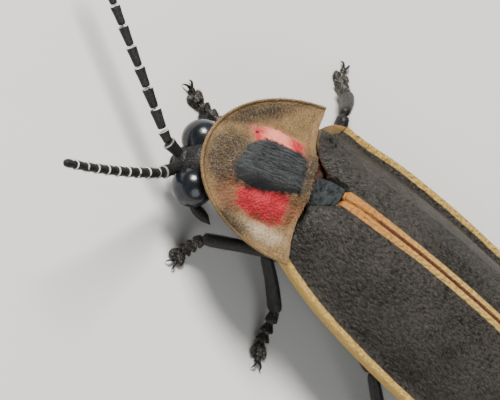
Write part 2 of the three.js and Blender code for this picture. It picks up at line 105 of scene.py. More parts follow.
def hill(x: Array, y: Array, middle: tuple[float, float], radii: tuple[float, float]) -> Array:
    """A round hill of height 1 over an oval place."""
    return np.exp(-(((x - middle[0]) / radii[0]) ** 2) - ((y - middle[1]) / radii[1]) ** 2)


def hermite(t: Array, ends: tuple[Array, Array], slopes: tuple[Array, Array]) -> Array:
    """A cubic curve from one end to the other.

    Args:
        t: places along it from 0 to 1.
        ends: the values at its two ends.
        slopes: the slopes at its two ends.

    Returns:
        The values at the places.
    """
    squared, cubed = t**2, t**3
    first = (2 * cubed - 3 * squared + 1) * ends[0] + (cubed - 2 * squared + t) * slopes[0]
    return first + (3 * squared - 2 * cubed) * ends[1] + (cubed - squared) * slopes[1]


class Profile:
    """A smooth curve through pairs of (place, value), level at both ends."""

    def __init__(self, *pairs: tuple[float, float]) -> None:
        """Keeps the pairs and the slope at each.

        Args:
            pairs: the places in rising order, each with its value.
        """
        self.places = np.array([p for p, _ in pairs], float)
        self.values = np.array([v for _, v in pairs], float)
        self.slopes = np.zeros(len(pairs))
        self.slopes[1:-1] = (self.values[2:] - self.values[:-2]) / (self.places[2:] - self.places[:-2])

    def scaled(self, factor: float) -> "Profile":
        """The curve with every value times a factor."""
        return Profile(*zip(self.places, self.values * factor))

    def __call__(self, place: Union[float, Array]) -> Array:
        """Reads the curve.

        Args:
            place: places along it. Beyond its ends it keeps its end values.

        Returns:
            The values there.
        """
        at = np.clip(np.asarray(place, float), self.places[0], self.places[-1])
        i = np.clip(np.searchsorted(self.places, at, side="right") - 1, 0, len(self.places) - 2)
        step = self.places[i + 1] - self.places[i]
        ends = self.values[i], self.values[i + 1]
        slopes = self.slopes[i] * step, self.slopes[i + 1] * step
        return hermite((at - self.places[i]) / step, ends, slopes)


@dataclass(frozen=True)
class Place:
    """Where a piece stands in the animal's frame: turned left by yaw and tipped by pitch, in degrees."""

    origin: Point
    yaw: float
    pitch: float = 0.0

    @property
    def turn(self) -> Array:
        """The rotation.

        Returns:
            A 3 x 3 matrix.
        """
        yaw = Matrix.Rotation(math.radians(self.yaw), 3, "Z")
        pitch = Matrix.Rotation(math.radians(self.pitch), 3, "X")
        return np.array(yaw @ pitch)

    def out(self, points: Array) -> Array:
        """Points of the piece in the animal's frame."""
        return np.asarray(points, float) @ self.turn.T + np.array(self.origin)

    def into(self, points: Array) -> Array:
        """Points of the animal's frame in the piece's own."""
        return (np.asarray(points, float) - np.array(self.origin)) @ self.turn


HEAD = Place((0.88, -2.74, 1.2), 19.2)
SHIELD = Place((0.25, -0.84, 2.86), 16.7, 14.0)
EYE_SPACING = 0.58


def animal_origin() -> Array:
    """The zero of the animal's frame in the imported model's frame, from where the left eye is.

    Returns:
        The place, in mm.
    """
    low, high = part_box("eye_left")
    eye = (np.array(low) + np.array(high)) / 2 / MM
    return eye - HEAD.out(np.array([EYE_SPACING, 0, 0]))


ORIGIN = animal_origin()


def unit(vectors: Array) -> Array:
    """The vectors at length one."""
    return vectors / np.maximum(np.linalg.norm(vectors, axis=-1, keepdims=True), 1e-12)


def curve_through(joints: Array, shares: Array) -> tuple[Array, Array]:
    """A smooth curve through the joints, read at shares of its length.

    Args:
        joints: the points that the curve passes.
        shares: places along it from 0 to 1.

    Returns:
        The points there and the directions there.
    """
    joints = np.asarray(joints, float)
    if len(joints) == 2:
        dense = joints[0] + np.linspace(0, 1, STRAIGHT_STEPS)[:, None] * (joints[1] - joints[0])
    else:
        ends = np.vstack([2 * joints[0] - joints[1], joints, 2 * joints[-1] - joints[-2]])
        gaps = np.sqrt(np.linalg.norm(np.diff(ends, axis=0), axis=1))
        runs = []
        for n in range(1, len(ends) - 2):
            d0, d1, d2 = gaps[n - 1 : n + 2]
            p0, p1, p2, p3 = ends[n - 1 : n + 3]
            m1 = ((p1 - p0) / d0 - (p2 - p0) / (d0 + d1) + (p2 - p1) / d1) * d1
            m2 = ((p2 - p1) / d1 - (p3 - p1) / (d1 + d2) + (p3 - p2) / d2) * d1
            t = np.linspace(0, 1, CURVE_STEPS, endpoint=n == len(ends) - 3)[:, None]
            runs.append(hermite(t, (p1, p2), (m1, m2)))
        dense = np.vstack(runs)
    lengths = np.concatenate([[0], np.cumsum(np.linalg.norm(np.diff(dense, axis=0), axis=1))])
    at = np.asarray(shares, float) * lengths[-1]
    points = np.stack([np.interp(at, lengths, dense[:, k]) for k in range(3)], axis=1)
    slopes = np.gradient(dense, lengths, axis=0)
    along = np.stack([np.interp(at, lengths, slopes[:, k]) for k in range(3)], axis=1)
    return points, unit(along)


# Surfaces


class Skin:
    """A closed surface as rows of points: each row is a ring, and the first and last rows are capped."""

    def __init__(self, rings: Array, marks: Optional[dict[str, Array]] = None) -> None:
        """Keeps the rings, and numbers at each point that a finish reads.

        Args:
            rings: rows x columns x 3 points.
            marks: names and rows x columns numbers.
        """
        self.rings = np.asarray(rings, float)
        shape = self.rings.shape[:2]
        self.marks = {k: np.broadcast_to(np.asarray(v, float), shape) for k, v in (marks or {}).items()}
        self.outward = 1.0 if self.volume() > 0 else -1.0

    def volume(self) -> float:
        """Measures the rings' inside, to learn which way they run.

        Returns:
            A volume, below 0 where the rings run the other way round.
        """
        p = self.rings
        a, b = p[:-1], np.roll(p, -1, axis=1)[:-1]
        c, d = np.roll(p, -1, axis=1)[1:], p[1:]
        middle = p.mean(axis=(0, 1))
        a, b, c, d = a - middle, b - middle, c - middle, d - middle
        return float(np.sum(a * np.cross(b, c)) + np.sum(a * np.cross(c, d)))

    def scatter(self, count: int, rng: np.random.Generator, weight: Optional[Array] = None) -> "Roots":
        """Random places on the surface.

        Args:
            count: how many.
            rng: the seeded source of chance.
            weight: rows x columns share of hairs at each point.

        Returns:
            The places, with the surface's directions there.
        """
        p = np.concatenate([self.rings, self.rings[:, :1]], axis=1)
        a, b, c, d = p[:-1, :-1], p[:-1, 1:], p[1:, 1:], p[1:, :-1]
        area = np.linalg.norm(np.cross(c - a, d - b), axis=-1)
        if weight is not None:
            area = area * np.broadcast_to(weight, self.rings.shape[:2])[:-1]
        chance = area.ravel() / area.sum()
        pick = rng.choice(chance.size, count, p=chance)
        i, j = np.divmod(pick, area.shape[1])
        s, t = rng.random(count)[:, None], rng.random(count)[:, None]
        a, b, c, d = a[i, j], b[i, j], c[i, j], d[i, j]
        root = (a * (1 - t) + b * t) * (1 - s) + (d * (1 - t) + c * t) * s
        along = unit((d - a) * (1 - t) + (c - b) * t)
        around = (b - a) * (1 - s) + (c - d) * s
        normal = unit(np.cross(around, along)) * self.outward
        rows, columns = area.shape
        chart = np.stack([(j + t[:, 0]) / columns, (i + s[:, 0]) / rows], axis=1)
        return Roots(root, normal, along, chart)


@dataclass
class Roots:
    """Places on a surface where hairs stand."""

    root: Array
    normal: Array
    along: Array
    chart: Array

    def __len__(self) -> int:
        """How many there are."""
        return len(self.root)

    def only(self, kept: Array) -> "Roots":
        """The places that are marked as kept."""
        return Roots(self.root[kept], self.normal[kept], self.along[kept], self.chart[kept])


def mark_points(mesh: bpy.types.Mesh, name: str, values: Array) -> None:
    """Gives a mesh a number at each of its points, for its finish to read."""
    attribute = mesh.attributes.new(name, "FLOAT", "POINT")
    attribute.data.foreach_set("value", values.astype(np.float32))


class Body:
    """Gathers surfaces into one mesh object."""

    def __init__(self, *skins: Skin) -> None:
        """Gathers the surfaces.

        Args:
            skins: the surfaces.
        """
        self.points: list[Array] = []
        self.quads: list[Array] = []
        self.fans: list[Array] = []
        self.marks: list[dict[str, Array]] = []
        self.total = 0
        for skin in skins:
            self.add(skin)

    def add(self, skin: Skin) -> None:
        """Adds a surface, with a fan of triangles over each end ring.

        Args:
            skin: the surface.
        """
        rows, columns = skin.rings.shape[:2]
        points = skin.rings.reshape(-1, 3)
        marks = {name: values.reshape(-1) for name, values in skin.marks.items()}
        grid = np.arange(rows * columns).reshape(rows, columns)
        around = np.roll(grid, -1, axis=1)
        quads = np.stack([grid[:-1], around[:-1], around[1:], grid[1:]], axis=-1).reshape(-1, 4)
        fans = []
        for ring, turned in ((0, True), (rows - 1, False)):
            centre = np.full(columns, len(points))
            points = np.vstack([points, points[grid[ring]].mean(axis=0)])
            marks = {name: np.append(values, values[grid[ring]].mean()) for name, values in marks.items()}
            first, second = (around[ring], grid[ring]) if turned else (grid[ring], around[ring])
            fans.append(np.stack([centre, first, second], axis=1))
        triangles = np.vstack(fans)
        if skin.outward < 0:
            quads, triangles = quads[:, ::-1], triangles[:, ::-1]
        self.points.append(points)
        self.quads.append(quads + self.total)
        self.fans.append(triangles + self.total)
        self.marks.append(marks)
        self.total += len(points)

    def make(self, name: str, finish: bpy.types.Material, slot: Slot,
             nodes: Sequence[str] = ()) -> bpy.types.Object:
        """Makes the object, lets it ride on the animal and hides the solids that it stands for.

        Args:
            name: the piece's name.
            finish: its material.
            slot: the record's finish meant for it; not used.
            nodes: the solids that it stands for.

        Returns:
            The object.
        """
        points = (np.vstack(self.points) + ORIGIN) * MM
        faces = np.vstack(self.quads).tolist() + np.vstack(self.fans).tolist()
        mesh = bpy.data.meshes.new(name)
        mesh.from_pydata(points.tolist(), [], faces)
        for mark in sorted({k for m in self.marks for k in m}):
            values = [m.get(mark, np.zeros(len(p))) for m, p in zip(self.marks, self.points)]
            mark_points(mesh, mark, np.concatenate(values))
        mesh.shade_smooth()
        mesh.materials.append(finish)
        return place_piece(mesh, name, nodes)


def place_piece(mesh: bpy.types.Mesh, name: str, nodes: Sequence[str]) -> bpy.types.Object:
    """Puts a mesh in the scene as a piece of the animal.

    Args:
        mesh: the piece's mesh, in metres in the model's frame.
        name: the piece's name.
        nodes: the solids that it stands for.

    Returns:
        The object.
    """
    piece = bpy.data.objects.new(name, mesh)
    bpy.context.scene.collection.objects.link(piece)
    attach(piece, "root")
    if nodes:
        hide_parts(*nodes)
    log.info("%s: %d faces", name, len(mesh.polygons))
    return piece


@dataclass(frozen=True)
class Hair:
    """Sizes of a kind of hair, a flat tapering blade: its lift and its stray are in degrees."""

    length: float
    width: float
    lift: float = 15.0
    stray: float = 18.0
    spread: float = 0.3
    droop: float = 0.12
    waist: float = 0.7
    uneven: float = 0.35


SHIELD_DOWN = Hair(0.075, 0.006, 12, 16)
RIM_DOWN = Hair(0.04, 0.005, 35, 25)
PATCH_DOWN = Hair(0.07, 0.006, 10, 18)
WING_DOWN = Hair(0.085, 0.006, 10, 20)
THIGH_DOWN = Hair(0.09, 0.006, 16, 18)
SHIN_DOWN = Hair(0.085, 0.006, 24, 18)
FOOT_DOWN = Hair(0.07, 0.006, 30, 22)
LOBE_DOWN = Hair(0.06, 0.007, 38, 25)
FEELER_DOWN = Hair(0.05, 0.005, 26, 16)
FACE_DOWN = Hair(0.06, 0.006, 25, 30)
BELLY_DOWN = Hair(0.13, 0.01, 16, 16)

# Where a blade's points lie in its patch of the bake map
BLADE_CHART = np.array([[0, 0], [1, 0], [0.85, 0.5], [0.15, 0.5], [0.5, 1]])
BLADE_POINTS = len(BLADE_CHART)
# A patch's width, and the border left round each surface's chart, as shares of the map
PATCH = 0.003
CHART_BORDER = 0.04


class Coat:
    """Gathers hairs into one mesh whose bake map has a small patch for each hair at its root's place."""

    def __init__(self, name: str, finish: bpy.types.Material, slot: Slot) -> None:
        """Starts empty.

        Args:
            name: the piece's name.
            finish: the hair's material.
            slot: the record's finish meant for it; kept, but not used.
        """
        self.name, self.finish, self.slot = name, finish, slot
        self.blades: list[tuple[Array, Array, Array]] = []

    def grow(self, roots: Roots, kind: Hair, rng: np.random.Generator, lay: Optional[Array] = None) -> None:
        """Adds a hair at each root.

        Args:
            roots: where they stand.
            kind: their sizes.
            rng: the seeded source of chance.
            lay: the way they lie, in place of the surface's own direction.
        """
        count = len(roots)
        flow = roots.along if lay is None else lay
        flow = unit(flow - roots.normal * np.sum(flow * roots.normal, axis=1, keepdims=True))
        across = np.cross(roots.normal, flow)
        stray = np.radians(rng.normal(0, kind.stray, count))[:, None]
        heading = flow * np.cos(stray) + across * np.sin(stray)
        lift = np.radians(np.abs(rng.normal(kind.lift, kind.lift * kind.uneven, count)))[:, None]
        way = heading * np.cos(lift) + roots.normal * np.sin(lift)
        side = unit(np.cross(way, roots.normal)) * kind.width / 2
        length = kind.length * (1 + kind.spread * rng.uniform(-1, 1, (count, 1)))
        base = roots.root - roots.normal * kind.width * 0.5
        middle = base + way * length * 0.5
        waist = side * kind.waist
        tip = base + way * length - roots.normal * length * kind.droop * np.sin(lift)
        points = np.stack([base - side, base + side, middle + waist, middle - waist, tip], axis=1)
        tone = np.repeat(rng.random(count)[:, None], BLADE_POINTS, axis=1)
        self.blades.append((points, tone, roots.chart))

    def keep_above(self, height: float) -> None:
        """Keeps the hairs' points off the floor.

        Args:
            height: the lowest that a point may be.
        """
        for points, _, _ in self.blades:
            points[..., 2] = np.maximum(points[..., 2], height)

    def charts(self) -> Array:
        """Lays the surfaces' charts side by side on the bake map.

        Returns:
            Each hair's place on the map.
        """
        cells = math.ceil(math.sqrt(len(self.blades)))
        laid = []
        for n, (_, _, chart) in enumerate(self.blades):
            corner = np.array([n % cells, n // cells])
            laid.append((corner + CHART_BORDER + (1 - 2 * CHART_BORDER) * chart) / cells)
        return np.vstack(laid) * (1 - PATCH)

    def make(self) -> bpy.types.Object:
        """Makes the coat's object.

        Returns:
            The object.
        """
        points = np.vstack([blade[0] for blade in self.blades])
        tone = np.vstack([blade[1] for blade in self.blades])
        start = np.arange(len(points))[:, None] * BLADE_POINTS
        quads = (start + np.array([[0, 1, 2, 3]])).tolist()
        tips = (start + np.array([[3, 2, 4]])).tolist()
        mesh = bpy.data.meshes.new(self.name)
        mesh.from_pydata(((points.reshape(-1, 3) + ORIGIN) * MM).tolist(), [], quads + tips)
        mark_points(mesh, "tone", tone.reshape(-1))
        vertex = np.zeros(len(mesh.loops), np.int32)
        mesh.loops.foreach_get("vertex_index", vertex)
        corners = BLADE_CHART * PATCH
        where = self.charts()[vertex // BLADE_POINTS] + corners[vertex % BLADE_POINTS]
        layer = mesh.uv_layers.new(name="OFBake")
        layer.data.foreach_set("uv", where.astype(np.float32).reshape(-1))
        mesh.shade_smooth()
        mesh.materials.append(self.finish)
        return place_piece(mesh, self.name, ())


# Shader maths


class Wire:
    """A shader socket that takes part in Python sums."""

    def __init__(self, paint: "Paint", socket: bpy.types.NodeSocket) -> None:
        """Keeps the node maker and the socket."""
        self.paint, self.socket = paint, socket

    def combine(self, operation: str, *others: Union["Wire", float]) -> "Wire":
        """One Math node on this value and others."""
        return self.paint.node("ShaderNodeMath", {"operation": operation}, dict(enumerate((self, *others))))

    def __add__(self, other: Union["Wire", float]) -> "Wire":
        """The sum."""
        return self.combine("ADD", other)

    __radd__ = __add__

    def __mul__(self, other: Union["Wire", float]) -> "Wire":
        """The product."""
        return self.combine("MULTIPLY", other)

    def __sub__(self, other: Union["Wire", float]) -> "Wire":
        """The difference."""
        return self.combine("SUBTRACT", other)

    def __rsub__(self, other: float) -> "Wire":
        """A number less this value."""
        return self.combine("MULTIPLY_ADD", -1.0, other)

    def max(self, other: Union["Wire", float]) -> "Wire":
        """The larger."""
        return self.combine("MAXIMUM", other)

    def ramp(self, low: float, high: float) -> "Wire":
        """A soft step from 0 at low to 1 at high, or down where low is the larger.

        Args:
            low: where it is 0.
            high: where it is 1.

        Returns:
            The step.
        """
        values = {"Value": self, "From Min": min(low, high), "From Max": max(low, high)}
        if low > high:
            values.update({"To Min": 1.0, "To Max": 0.0})
        return self.paint.node("ShaderNodeMapRange", {"interpolation_type": "SMOOTHSTEP"}, values)

    def hump(self, start: float, end: float, edge: float) -> "Wire":
        """1 between start and end, with soft edges of that width."""
        return self.ramp(start - edge, start + edge) * self.ramp(end + edge, end - edge)


class Paint:
    """Builds one material's nodes."""

    def __init__(self, name: str) -> None:
        """Starts a material with its shader and output.

        Args:
            name: the material's name.
        """
        self.material = bpy.data.materials.new(name)
        self.material.use_nodes = True
        self.tree = self.material.node_tree
        self.tree.nodes.clear()
        self.shader = self.tree.nodes.new("ShaderNodeBsdfPrincipled")
        output = self.tree.nodes.new("ShaderNodeOutputMaterial")
        self.tree.links.new(self.shader.outputs[0], output.inputs["Surface"])

    def fill(self, socket: bpy.types.NodeSocket, value: Union[Wire, float, tuple[float, ...]]) -> None:
        """Wires or sets an input.

        Args:
            socket: the input.
            value: a wire, or the input's own value.
        """
        if isinstance(value, Wire):
            self.tree.links.new(value.socket, socket)
        else:
            socket.default_value = value

    def node(self, kind: str, settings: dict, values: dict, out: Union[int, str] = 0) -> Wire:
        """One node.

        Args:
            kind: the node's type.
            settings: its properties.
            values: a value or wire for each named or numbered input.
            out: the output wanted.

        Returns:
            That output.
        """
        node = self.tree.nodes.new(kind)
        for key, value in settings.items():
            setattr(node, key, value)
        for key, value in values.items():
            self.fill(node.inputs[key], value)
        return Wire(self, node.outputs[out])

    def mark(self, name: str) -> Wire:
        """A number that the mesh carries."""
        return self.node("ShaderNodeAttribute", {"attribute_name": name}, {}, "Fac")

    def place(self) -> Wire:
        """The place on the model, in mm."""
        spot = self.node("ShaderNodeTexCoord", {}, {}, "Object")
        return self.node("ShaderNodeVectorMath", {"operation": "SCALE"}, {0: spot, "Scale": 1 / MM})

    def stretched(self, x: float, y: float, z: float) -> Wire:
        """The place on the model in mm, stretched along each axis."""
        return self.node("ShaderNodeVectorMath", {"operation": "MULTIPLY"}, {0: self.place(), 1: (x, y, z)})

    def chart(self, x: Wire, y: Wire) -> Wire:
        """A place made of two numbers."""
        return self.node("ShaderNodeCombineXYZ", {}, {"X": x, "Y": y})

    def noise(self, scale: float, detail: float = 3.0, rough: float = 0.55,
              at: Optional[Wire] = None) -> Wire:
        """Soft noise of that many waves a mm, about 0.5."""
        values = {"Vector": at or self.place(), "Scale": scale, "Detail": detail, "Roughness": rough}
        return self.node("ShaderNodeTexNoise", {}, values)

    def cells(self, scale: float, at: Optional[Wire] = None) -> Wire:
        """The distance to the nearest of that many grains a mm."""
        values = {"Vector": at or self.place(), "Scale": scale}
        return self.node("ShaderNodeTexVoronoi", {"feature": "F1"}, values, "Distance")

    def mix(self, share: Union[Wire, float], first: Union[Wire, Colour], second: Union[Wire, Colour]) -> Wire:
        """A colour between two.

        Args:
            share: 0 for the first, 1 for the second.
            first: a colour or a wire of one.
            second: the other.

        Returns:
            The mixed colour.
        """
        first = first if isinstance(first, Wire) else (*first, 1)
        second = second if isinstance(second, Wire) else (*second, 1)
        values = {0: share, 6: first, 7: second}
        return self.node("ShaderNodeMix", {"data_type": "RGBA", "clamp_factor": True}, values, 2)

    def bump(self, height: Wire, depth: float, strength: float = 0.9) -> None:
        """Raises the surface by the height times the depth.

        Args:
            height: how high each place is, about 0 to 1.
            depth: what a height of 1 stands for, in mm.
            strength: how much of it shows.
        """
        values = {"Height": height, "Distance": depth * MM, "Strength": strength}
        self.fill(self.shader.inputs["Normal"], self.node("ShaderNodeBump", {}, values))

    def set(self, **values: Union[Wire, float, Colour]) -> bpy.types.Material:
        """Sets the shader's inputs.

        Args:
            values: a value or wire for each input, whose name has _ for a space.

        Returns:
            The material.
        """
        for key, value in values.items():
            self.fill(self.shader.inputs[key.replace("_", " ")], value)
        return self.material


# Finishes


@dataclass(frozen=True)
class Finish:
    """A recipe for one material. Its colours are linear red, green and blue."""

    name: str

    def make(self) -> bpy.types.Material:
        """Builds the material, in each kind of finish's own way."""
        raise NotImplementedError


@dataclass(frozen=True)
class ShieldFinish(Finish):
    """Tan, finely pitted horn with a black patch between two pink ones, and dusky speckles round the edge. On
    the patch, slate streaks are painted sheen of its hair and black along its steep left edge is painted
    shadow; pale pink across the right pink mark is a painted highlight.
    """

    name: str = "shield_horn"
    tan: Colour = (0.115, 0.066, 0.024)
    pale: Colour = (0.225, 0.142, 0.062)
    white: Colour = (0.43, 0.345, 0.235)
    brown: Colour = (0.15, 0.04, 0.018)
    dusk: Colour = (0.014, 0.01, 0.007)
    black: Colour = (0.0025, 0.0025, 0.0028)
    slate_sheen: Colour = (0.05, 0.056, 0.058)
    red: Colour = (0.25, 0.004, 0.011)
    pink: Colour = (0.38, 0.016, 0.026)
    blush_and_highlight: Colour = (0.76, 0.22, 0.15)

    def make(self) -> bpy.types.Material:
        """Builds the material.

        Returns:
            The material.
        """
        p = Paint(self.name)
        x, y, inward = p.mark("across"), p.mark("along"), p.mark("inward")
        wander = (p.noise(2.4, 4) - 0.5) * 0.3
        ragged = wander * 0.6 + (p.noise(9.0, 4) - 0.5) * 0.24
        grain = p.noise(30.0, 4, 0.7)
        specks = p.noise(24.0, 2, 0.85)
        streaks = p.noise(1.0, 4, 0.65, p.chart(x * 26, y * 3.5))
        # Tan ground, pale in places and brown or dusky in speckles
        base = p.mix((grain * 0.55 + p.noise(3.5, 4, 0.6) * 0.5).ramp(0.35, 0.68), self.tan, self.pale)
        base = p.mix((p.mark("pale") + wander).ramp(-0.12, 0.2) * (0.45 + streaks * 0.6), base, self.white)
        base = p.mix(inward.ramp(0.3, 0.05) * 0.2, base, self.pale)
        brown = (p.mark("brown") + wander).ramp(-0.2, 0.12)
        base = p.mix(brown * (specks + 0.1).ramp(0.35, 0.62) * 0.8, base, self.brown)
        dusk = (p.mark("dusk") + wander * 0.8).ramp(-0.3, 0.2)
        base = p.mix(dusk * (x.ramp(-0.6, -0.9) * 0.4 + x.ramp(1.05, 1.3) * 0.15 + 0.42), base, self.dusk)
        base = p.mix(dusk * (specks + dusk * 0.16).ramp(0.5, 0.62) * 0.85, base, self.dusk)
        # The right pink mark, with a painted highlight in pale pink across its middle over its swelling, and
        # a faint pale pink tint round it
        right = p.mark("pink_right") + ragged
        ends = (y + wander).ramp(-1.0, -1.5) * 0.45 + (y + wander).ramp(-0.95, -0.4) * 0.55
        # Painted highlight: pale pink where the swelling rises in the middle, pink towards the mark's ends
        rose = p.mix((streaks * 0.5 + ends).ramp(0.3, 0.75), self.blush_and_highlight, self.pink)
        base = p.mix(right.ramp(-0.2, 0.02) * 0.22, base, self.blush_and_highlight)
        base = p.mix(right.ramp(-0.05, 0.05) * 0.95, base, rose)
        # The left pink mark, deeper red and shaded towards the edge
        left = p.mark("pink_left") + ragged
        deep = p.mix((streaks * 0.4 + p.noise(4.0, 3) * 0.7).ramp(0.42, 0.68), self.red, self.pink)
        deep = p.mix((x - 0.95 + wander).ramp(0.0, 0.25) * y.ramp(-0.85, -0.45) * 0.8, deep, self.brown)
        shade = left.ramp(0.16, 0.03) * x.ramp(0.98, 1.1) * y.ramp(-1.2, -0.95) * y.ramp(-0.45, -0.65)
        deep = p.mix(shade * 0.85, deep, self.brown)
        base = p.mix(left.ramp(-0.14, 0.0) * 0.3, base, self.pink)
        base = p.mix(left.ramp(-0.05, 0.05) * 0.96, base, deep)
        # The black patch, with painted sheen of its hair in slate streaks, and a painted shadow in black
        # along its steep left edge
        slate_sheen = p.mix((streaks * 0.7 + grain * 0.4).ramp(0.42, 0.72), self.black, self.slate_sheen)
        # Painted shadow: black along the patch's steep left edge and its front left corner, where it drops to
        # the left pink mark
        edge_shadow = (x + wander * 0.7).ramp(0.24, 0.4) + (x - y - 1.75 + wander).ramp(0.0, 0.3)
        slate_sheen = p.mix(edge_shadow * 0.95, slate_sheen, self.black)
        patch = (p.mark("black") + ragged).ramp(-0.06, 0.05)
        base = p.mix(patch, base, slate_sheen)
        # A dark dot beside the right mark, the line inside the rim, and the rim
        dot = ((x + 0.72) * (x + 0.72) + (y + 1.44) * (y + 1.44)).ramp(0.0024, 0.0008)
        base = p.mix(dot * 0.9, base, self.dusk)
        base = p.mix(inward.hump(0.035, 0.055, 0.012) * 0.55, base, self.dusk)
        base = p.mix(inward.ramp(0.025, 0.005) * 0.4, base, self.pale)
        pits = p.cells(19.0)
        p.bump(grain * 0.4 + pits * (1 - patch * 0.85) * 0.8 + streaks * (patch * 0.7 + 0.25), 0.032)
        return p.set(Base_Color=base, Roughness=0.46 + grain * 0.2, Subsurface_Weight=0.08,
                     Subsurface_Scale=0.08 * MM, Subsurface_Radius=(1.0, 0.45, 0.3), IOR=1.3)


@dataclass(frozen=True)
class WingFinish(Finish):
    """Dark leathery wing cover with a granular skin, and yellow bands along the suture and the outer edge."""

    name: str = "wing_leather"
    dark: Colour = (0.004, 0.0034, 0.003)
    grey: Colour = (0.05, 0.044, 0.036)
    yellow: Colour = (0.54, 0.35, 0.095)
    orange: Colour = (0.46, 0.2, 0.045)
    rust: Colour = (0.15, 0.05, 0.028)
    tan: Colour = (0.2, 0.125, 0.05)

    def make(self) -> bpy.types.Material:
        """Builds the material.

        Returns:
            The material.
        """
        p = Paint(self.name)
        span, run, edge, lip, knob = (p.mark(name) for name in ("span", "run", "edge", "base", "knob"))
        wander = (p.noise(2.2, 5) - 0.5) * 0.05
        skin = p.stretched(1.0, 0.6, 1.0)
        grain, fine = p.cells(15.0, skin), p.noise(36.0, 4, 0.75, skin)
        worms, cloud = p.noise(15.0, 2, 0.5, skin), p.noise(1.1, 4, 0.55)
        # Dark skin with darker spots
        body = p.mix((fine * 0.5 + worms * 0.4 + cloud * 0.3).ramp(0.45, 0.76), self.dark, self.grey)
        spots = p.noise(3.2, 2, 0.4).ramp(0.7, 0.76)
        body = p.mix(spots * 0.9, body, self.dark)
        # Yellow bands, more orange in front
        seam = (span + wander + run.ramp(0.6, 2.6) * 0.035).ramp(0.2, 0.16) * (run + span).ramp(0.0, 0.16)
        border = (edge + wander).ramp(0.17, 0.125) * run.ramp(-1.2, -0.9)
        warm = p.mix((run + edge.ramp(1.0, 0.3) * 3.0).ramp(0.3, 3.4), self.orange, self.yellow)
        warm = p.mix(fine.ramp(0.35, 0.8) * 0.28, warm, self.rust)
        colour = p.mix(seam.max(border) * 0.95, body, warm)
        # Rust at the suture, and tan and rust along the lip of the base
        colour = p.mix(span.ramp(0.022, 0.01) * run.ramp(0.5, 1.2) * 0.9, colour, self.rust)
        colour = p.mix(lip.ramp(0.04, 0.015) * edge.ramp(1.2, 0.8) * 0.8, colour, self.tan)
        colour = p.mix(lip.ramp(0.07, 0.02) * edge.ramp(0.9, 1.3) * 0.7, colour, self.rust)
        granules = (1 - grain) * (1 - knob) * 0.7 + fine * 0.5 + worms * 0.9 + p.noise(5.0, 3) * 0.4
        p.bump(granules * lip.ramp(0.0, 0.06), 0.06, 1.0)
        rough = 0.4 - knob * 0.26 + fine * 0.16
        return p.set(Base_Color=p.mix(knob, colour, self.dark), Roughness=rough, IOR=1.3)


@dataclass(frozen=True)
class CuticleFinish(Finish):
    """Black, pitted and finely hairy horn, with a pale ring where the mesh marks one."""

    name: str = "black_horn"
    dark: Colour = (0.004, 0.0036, 0.004)
    light: Colour = (0.024, 0.021, 0.02)
    ring: Colour = (0.7, 0.67, 0.61)
    roughness: float = 0.36
    pits: float = 22.0
    depth: float = 0.012

    def make(self) -> bpy.types.Material:
        """Builds the material.

        Returns:
            The material.
        """
        p = Paint(self.name)
        fine = p.noise(26.0, 4, 0.7)
        pits = p.cells(self.pits)
        colour = p.mix((fine * 0.8 + p.noise(3.0) * 0.3).ramp(0.42, 0.75), self.dark, self.light)
        ring = p.mark("ring")
        colour = p.mix(ring * p.noise(7.0, 2, 0.6).ramp(0.3, 0.5), colour, self.ring)
        p.bump(pits * 0.8 + fine * 0.5, self.depth)
        return p.set(Base_Color=colour, Roughness=self.roughness + fine * 0.16 + ring * 0.2, IOR=1.33)


@dataclass(frozen=True)
class EyeFinish(Finish):
    """Glossy black facets."""

    name: str = "eye_facets"
    dark: Colour = (0.003, 0.0033, 0.004)
    blue: Colour = (0.009, 0.012, 0.018)

    def make(self) -> bpy.types.Material:
        """Builds the material.

        Returns:
            The material.
        """
        p = Paint(self.name)
        facets = p.cells(26.0)
        colour = p.mix(p.noise(2.5).ramp(0.35, 0.7), self.dark, self.blue)
        p.bump(1 - facets, 0.004, 0.4)
        return p.set(Base_Color=colour, Roughness=0.2 + facets * 0.1, Coat_Weight=0.15, IOR=1.45)


@dataclass(frozen=True)
class HornFinish(Finish):
    """Plain mottled horn in two tones, with a wrinkled or a waxy skin."""

    dark: Colour
    light: Colour
    roughness: float
    grain: float
    depth: float
    along: float = 1.0
    subsurface: float = 0.0

    def make(self) -> bpy.types.Material:
        """Builds the material.

        Returns:
            The material.
        """
        p = Paint(self.name)
        at = p.stretched(1.0, self.along, 1.0)
        fine = p.noise(self.grain, 4, 0.65, at)
        cloud = p.noise(self.grain * 0.15, 3)
        colour = p.mix((fine * 0.6 + cloud * 0.5).ramp(0.36, 0.74), self.dark, self.light)
        p.bump(fine + p.cells(self.grain * 0.5, at) * 0.6, self.depth)
        return p.set(Base_Color=colour, Roughness=self.roughness + fine * 0.18,
                     Subsurface_Weight=self.subsurface, Subsurface_Scale=0.12 * MM, IOR=1.33)


@dataclass(frozen=True)
class HairFinish(Finish):
    """Short hairs, each in its own tone between two."""

    root: Colour
    tip: Colour
    roughness: float = 0.42

    def make(self) -> bpy.types.Material:
        """Builds the material.

        Returns:
            The material.
        """
        p = Paint(self.name)
        colour = p.mix(p.mark("tone"), self.root, self.tip)
        return p.set(Base_Color=colour, Roughness=self.roughness, IOR=1.3)


@dataclass(frozen=True)
class FloorFinish(Finish):
    """A plain pale floor, faintly clouded."""

    name: str = "studio_floor"
    dark: Colour = (0.62, 0.61, 0.58)
    light: Colour = (0.68, 0.67, 0.64)

    def make(self) -> bpy.types.Material:
        """Builds the material."""
        p = Paint(self.name)
        return p.set(Base_Color=p.mix(p.noise(0.02, 2), self.dark, self.light), Roughness=0.75)


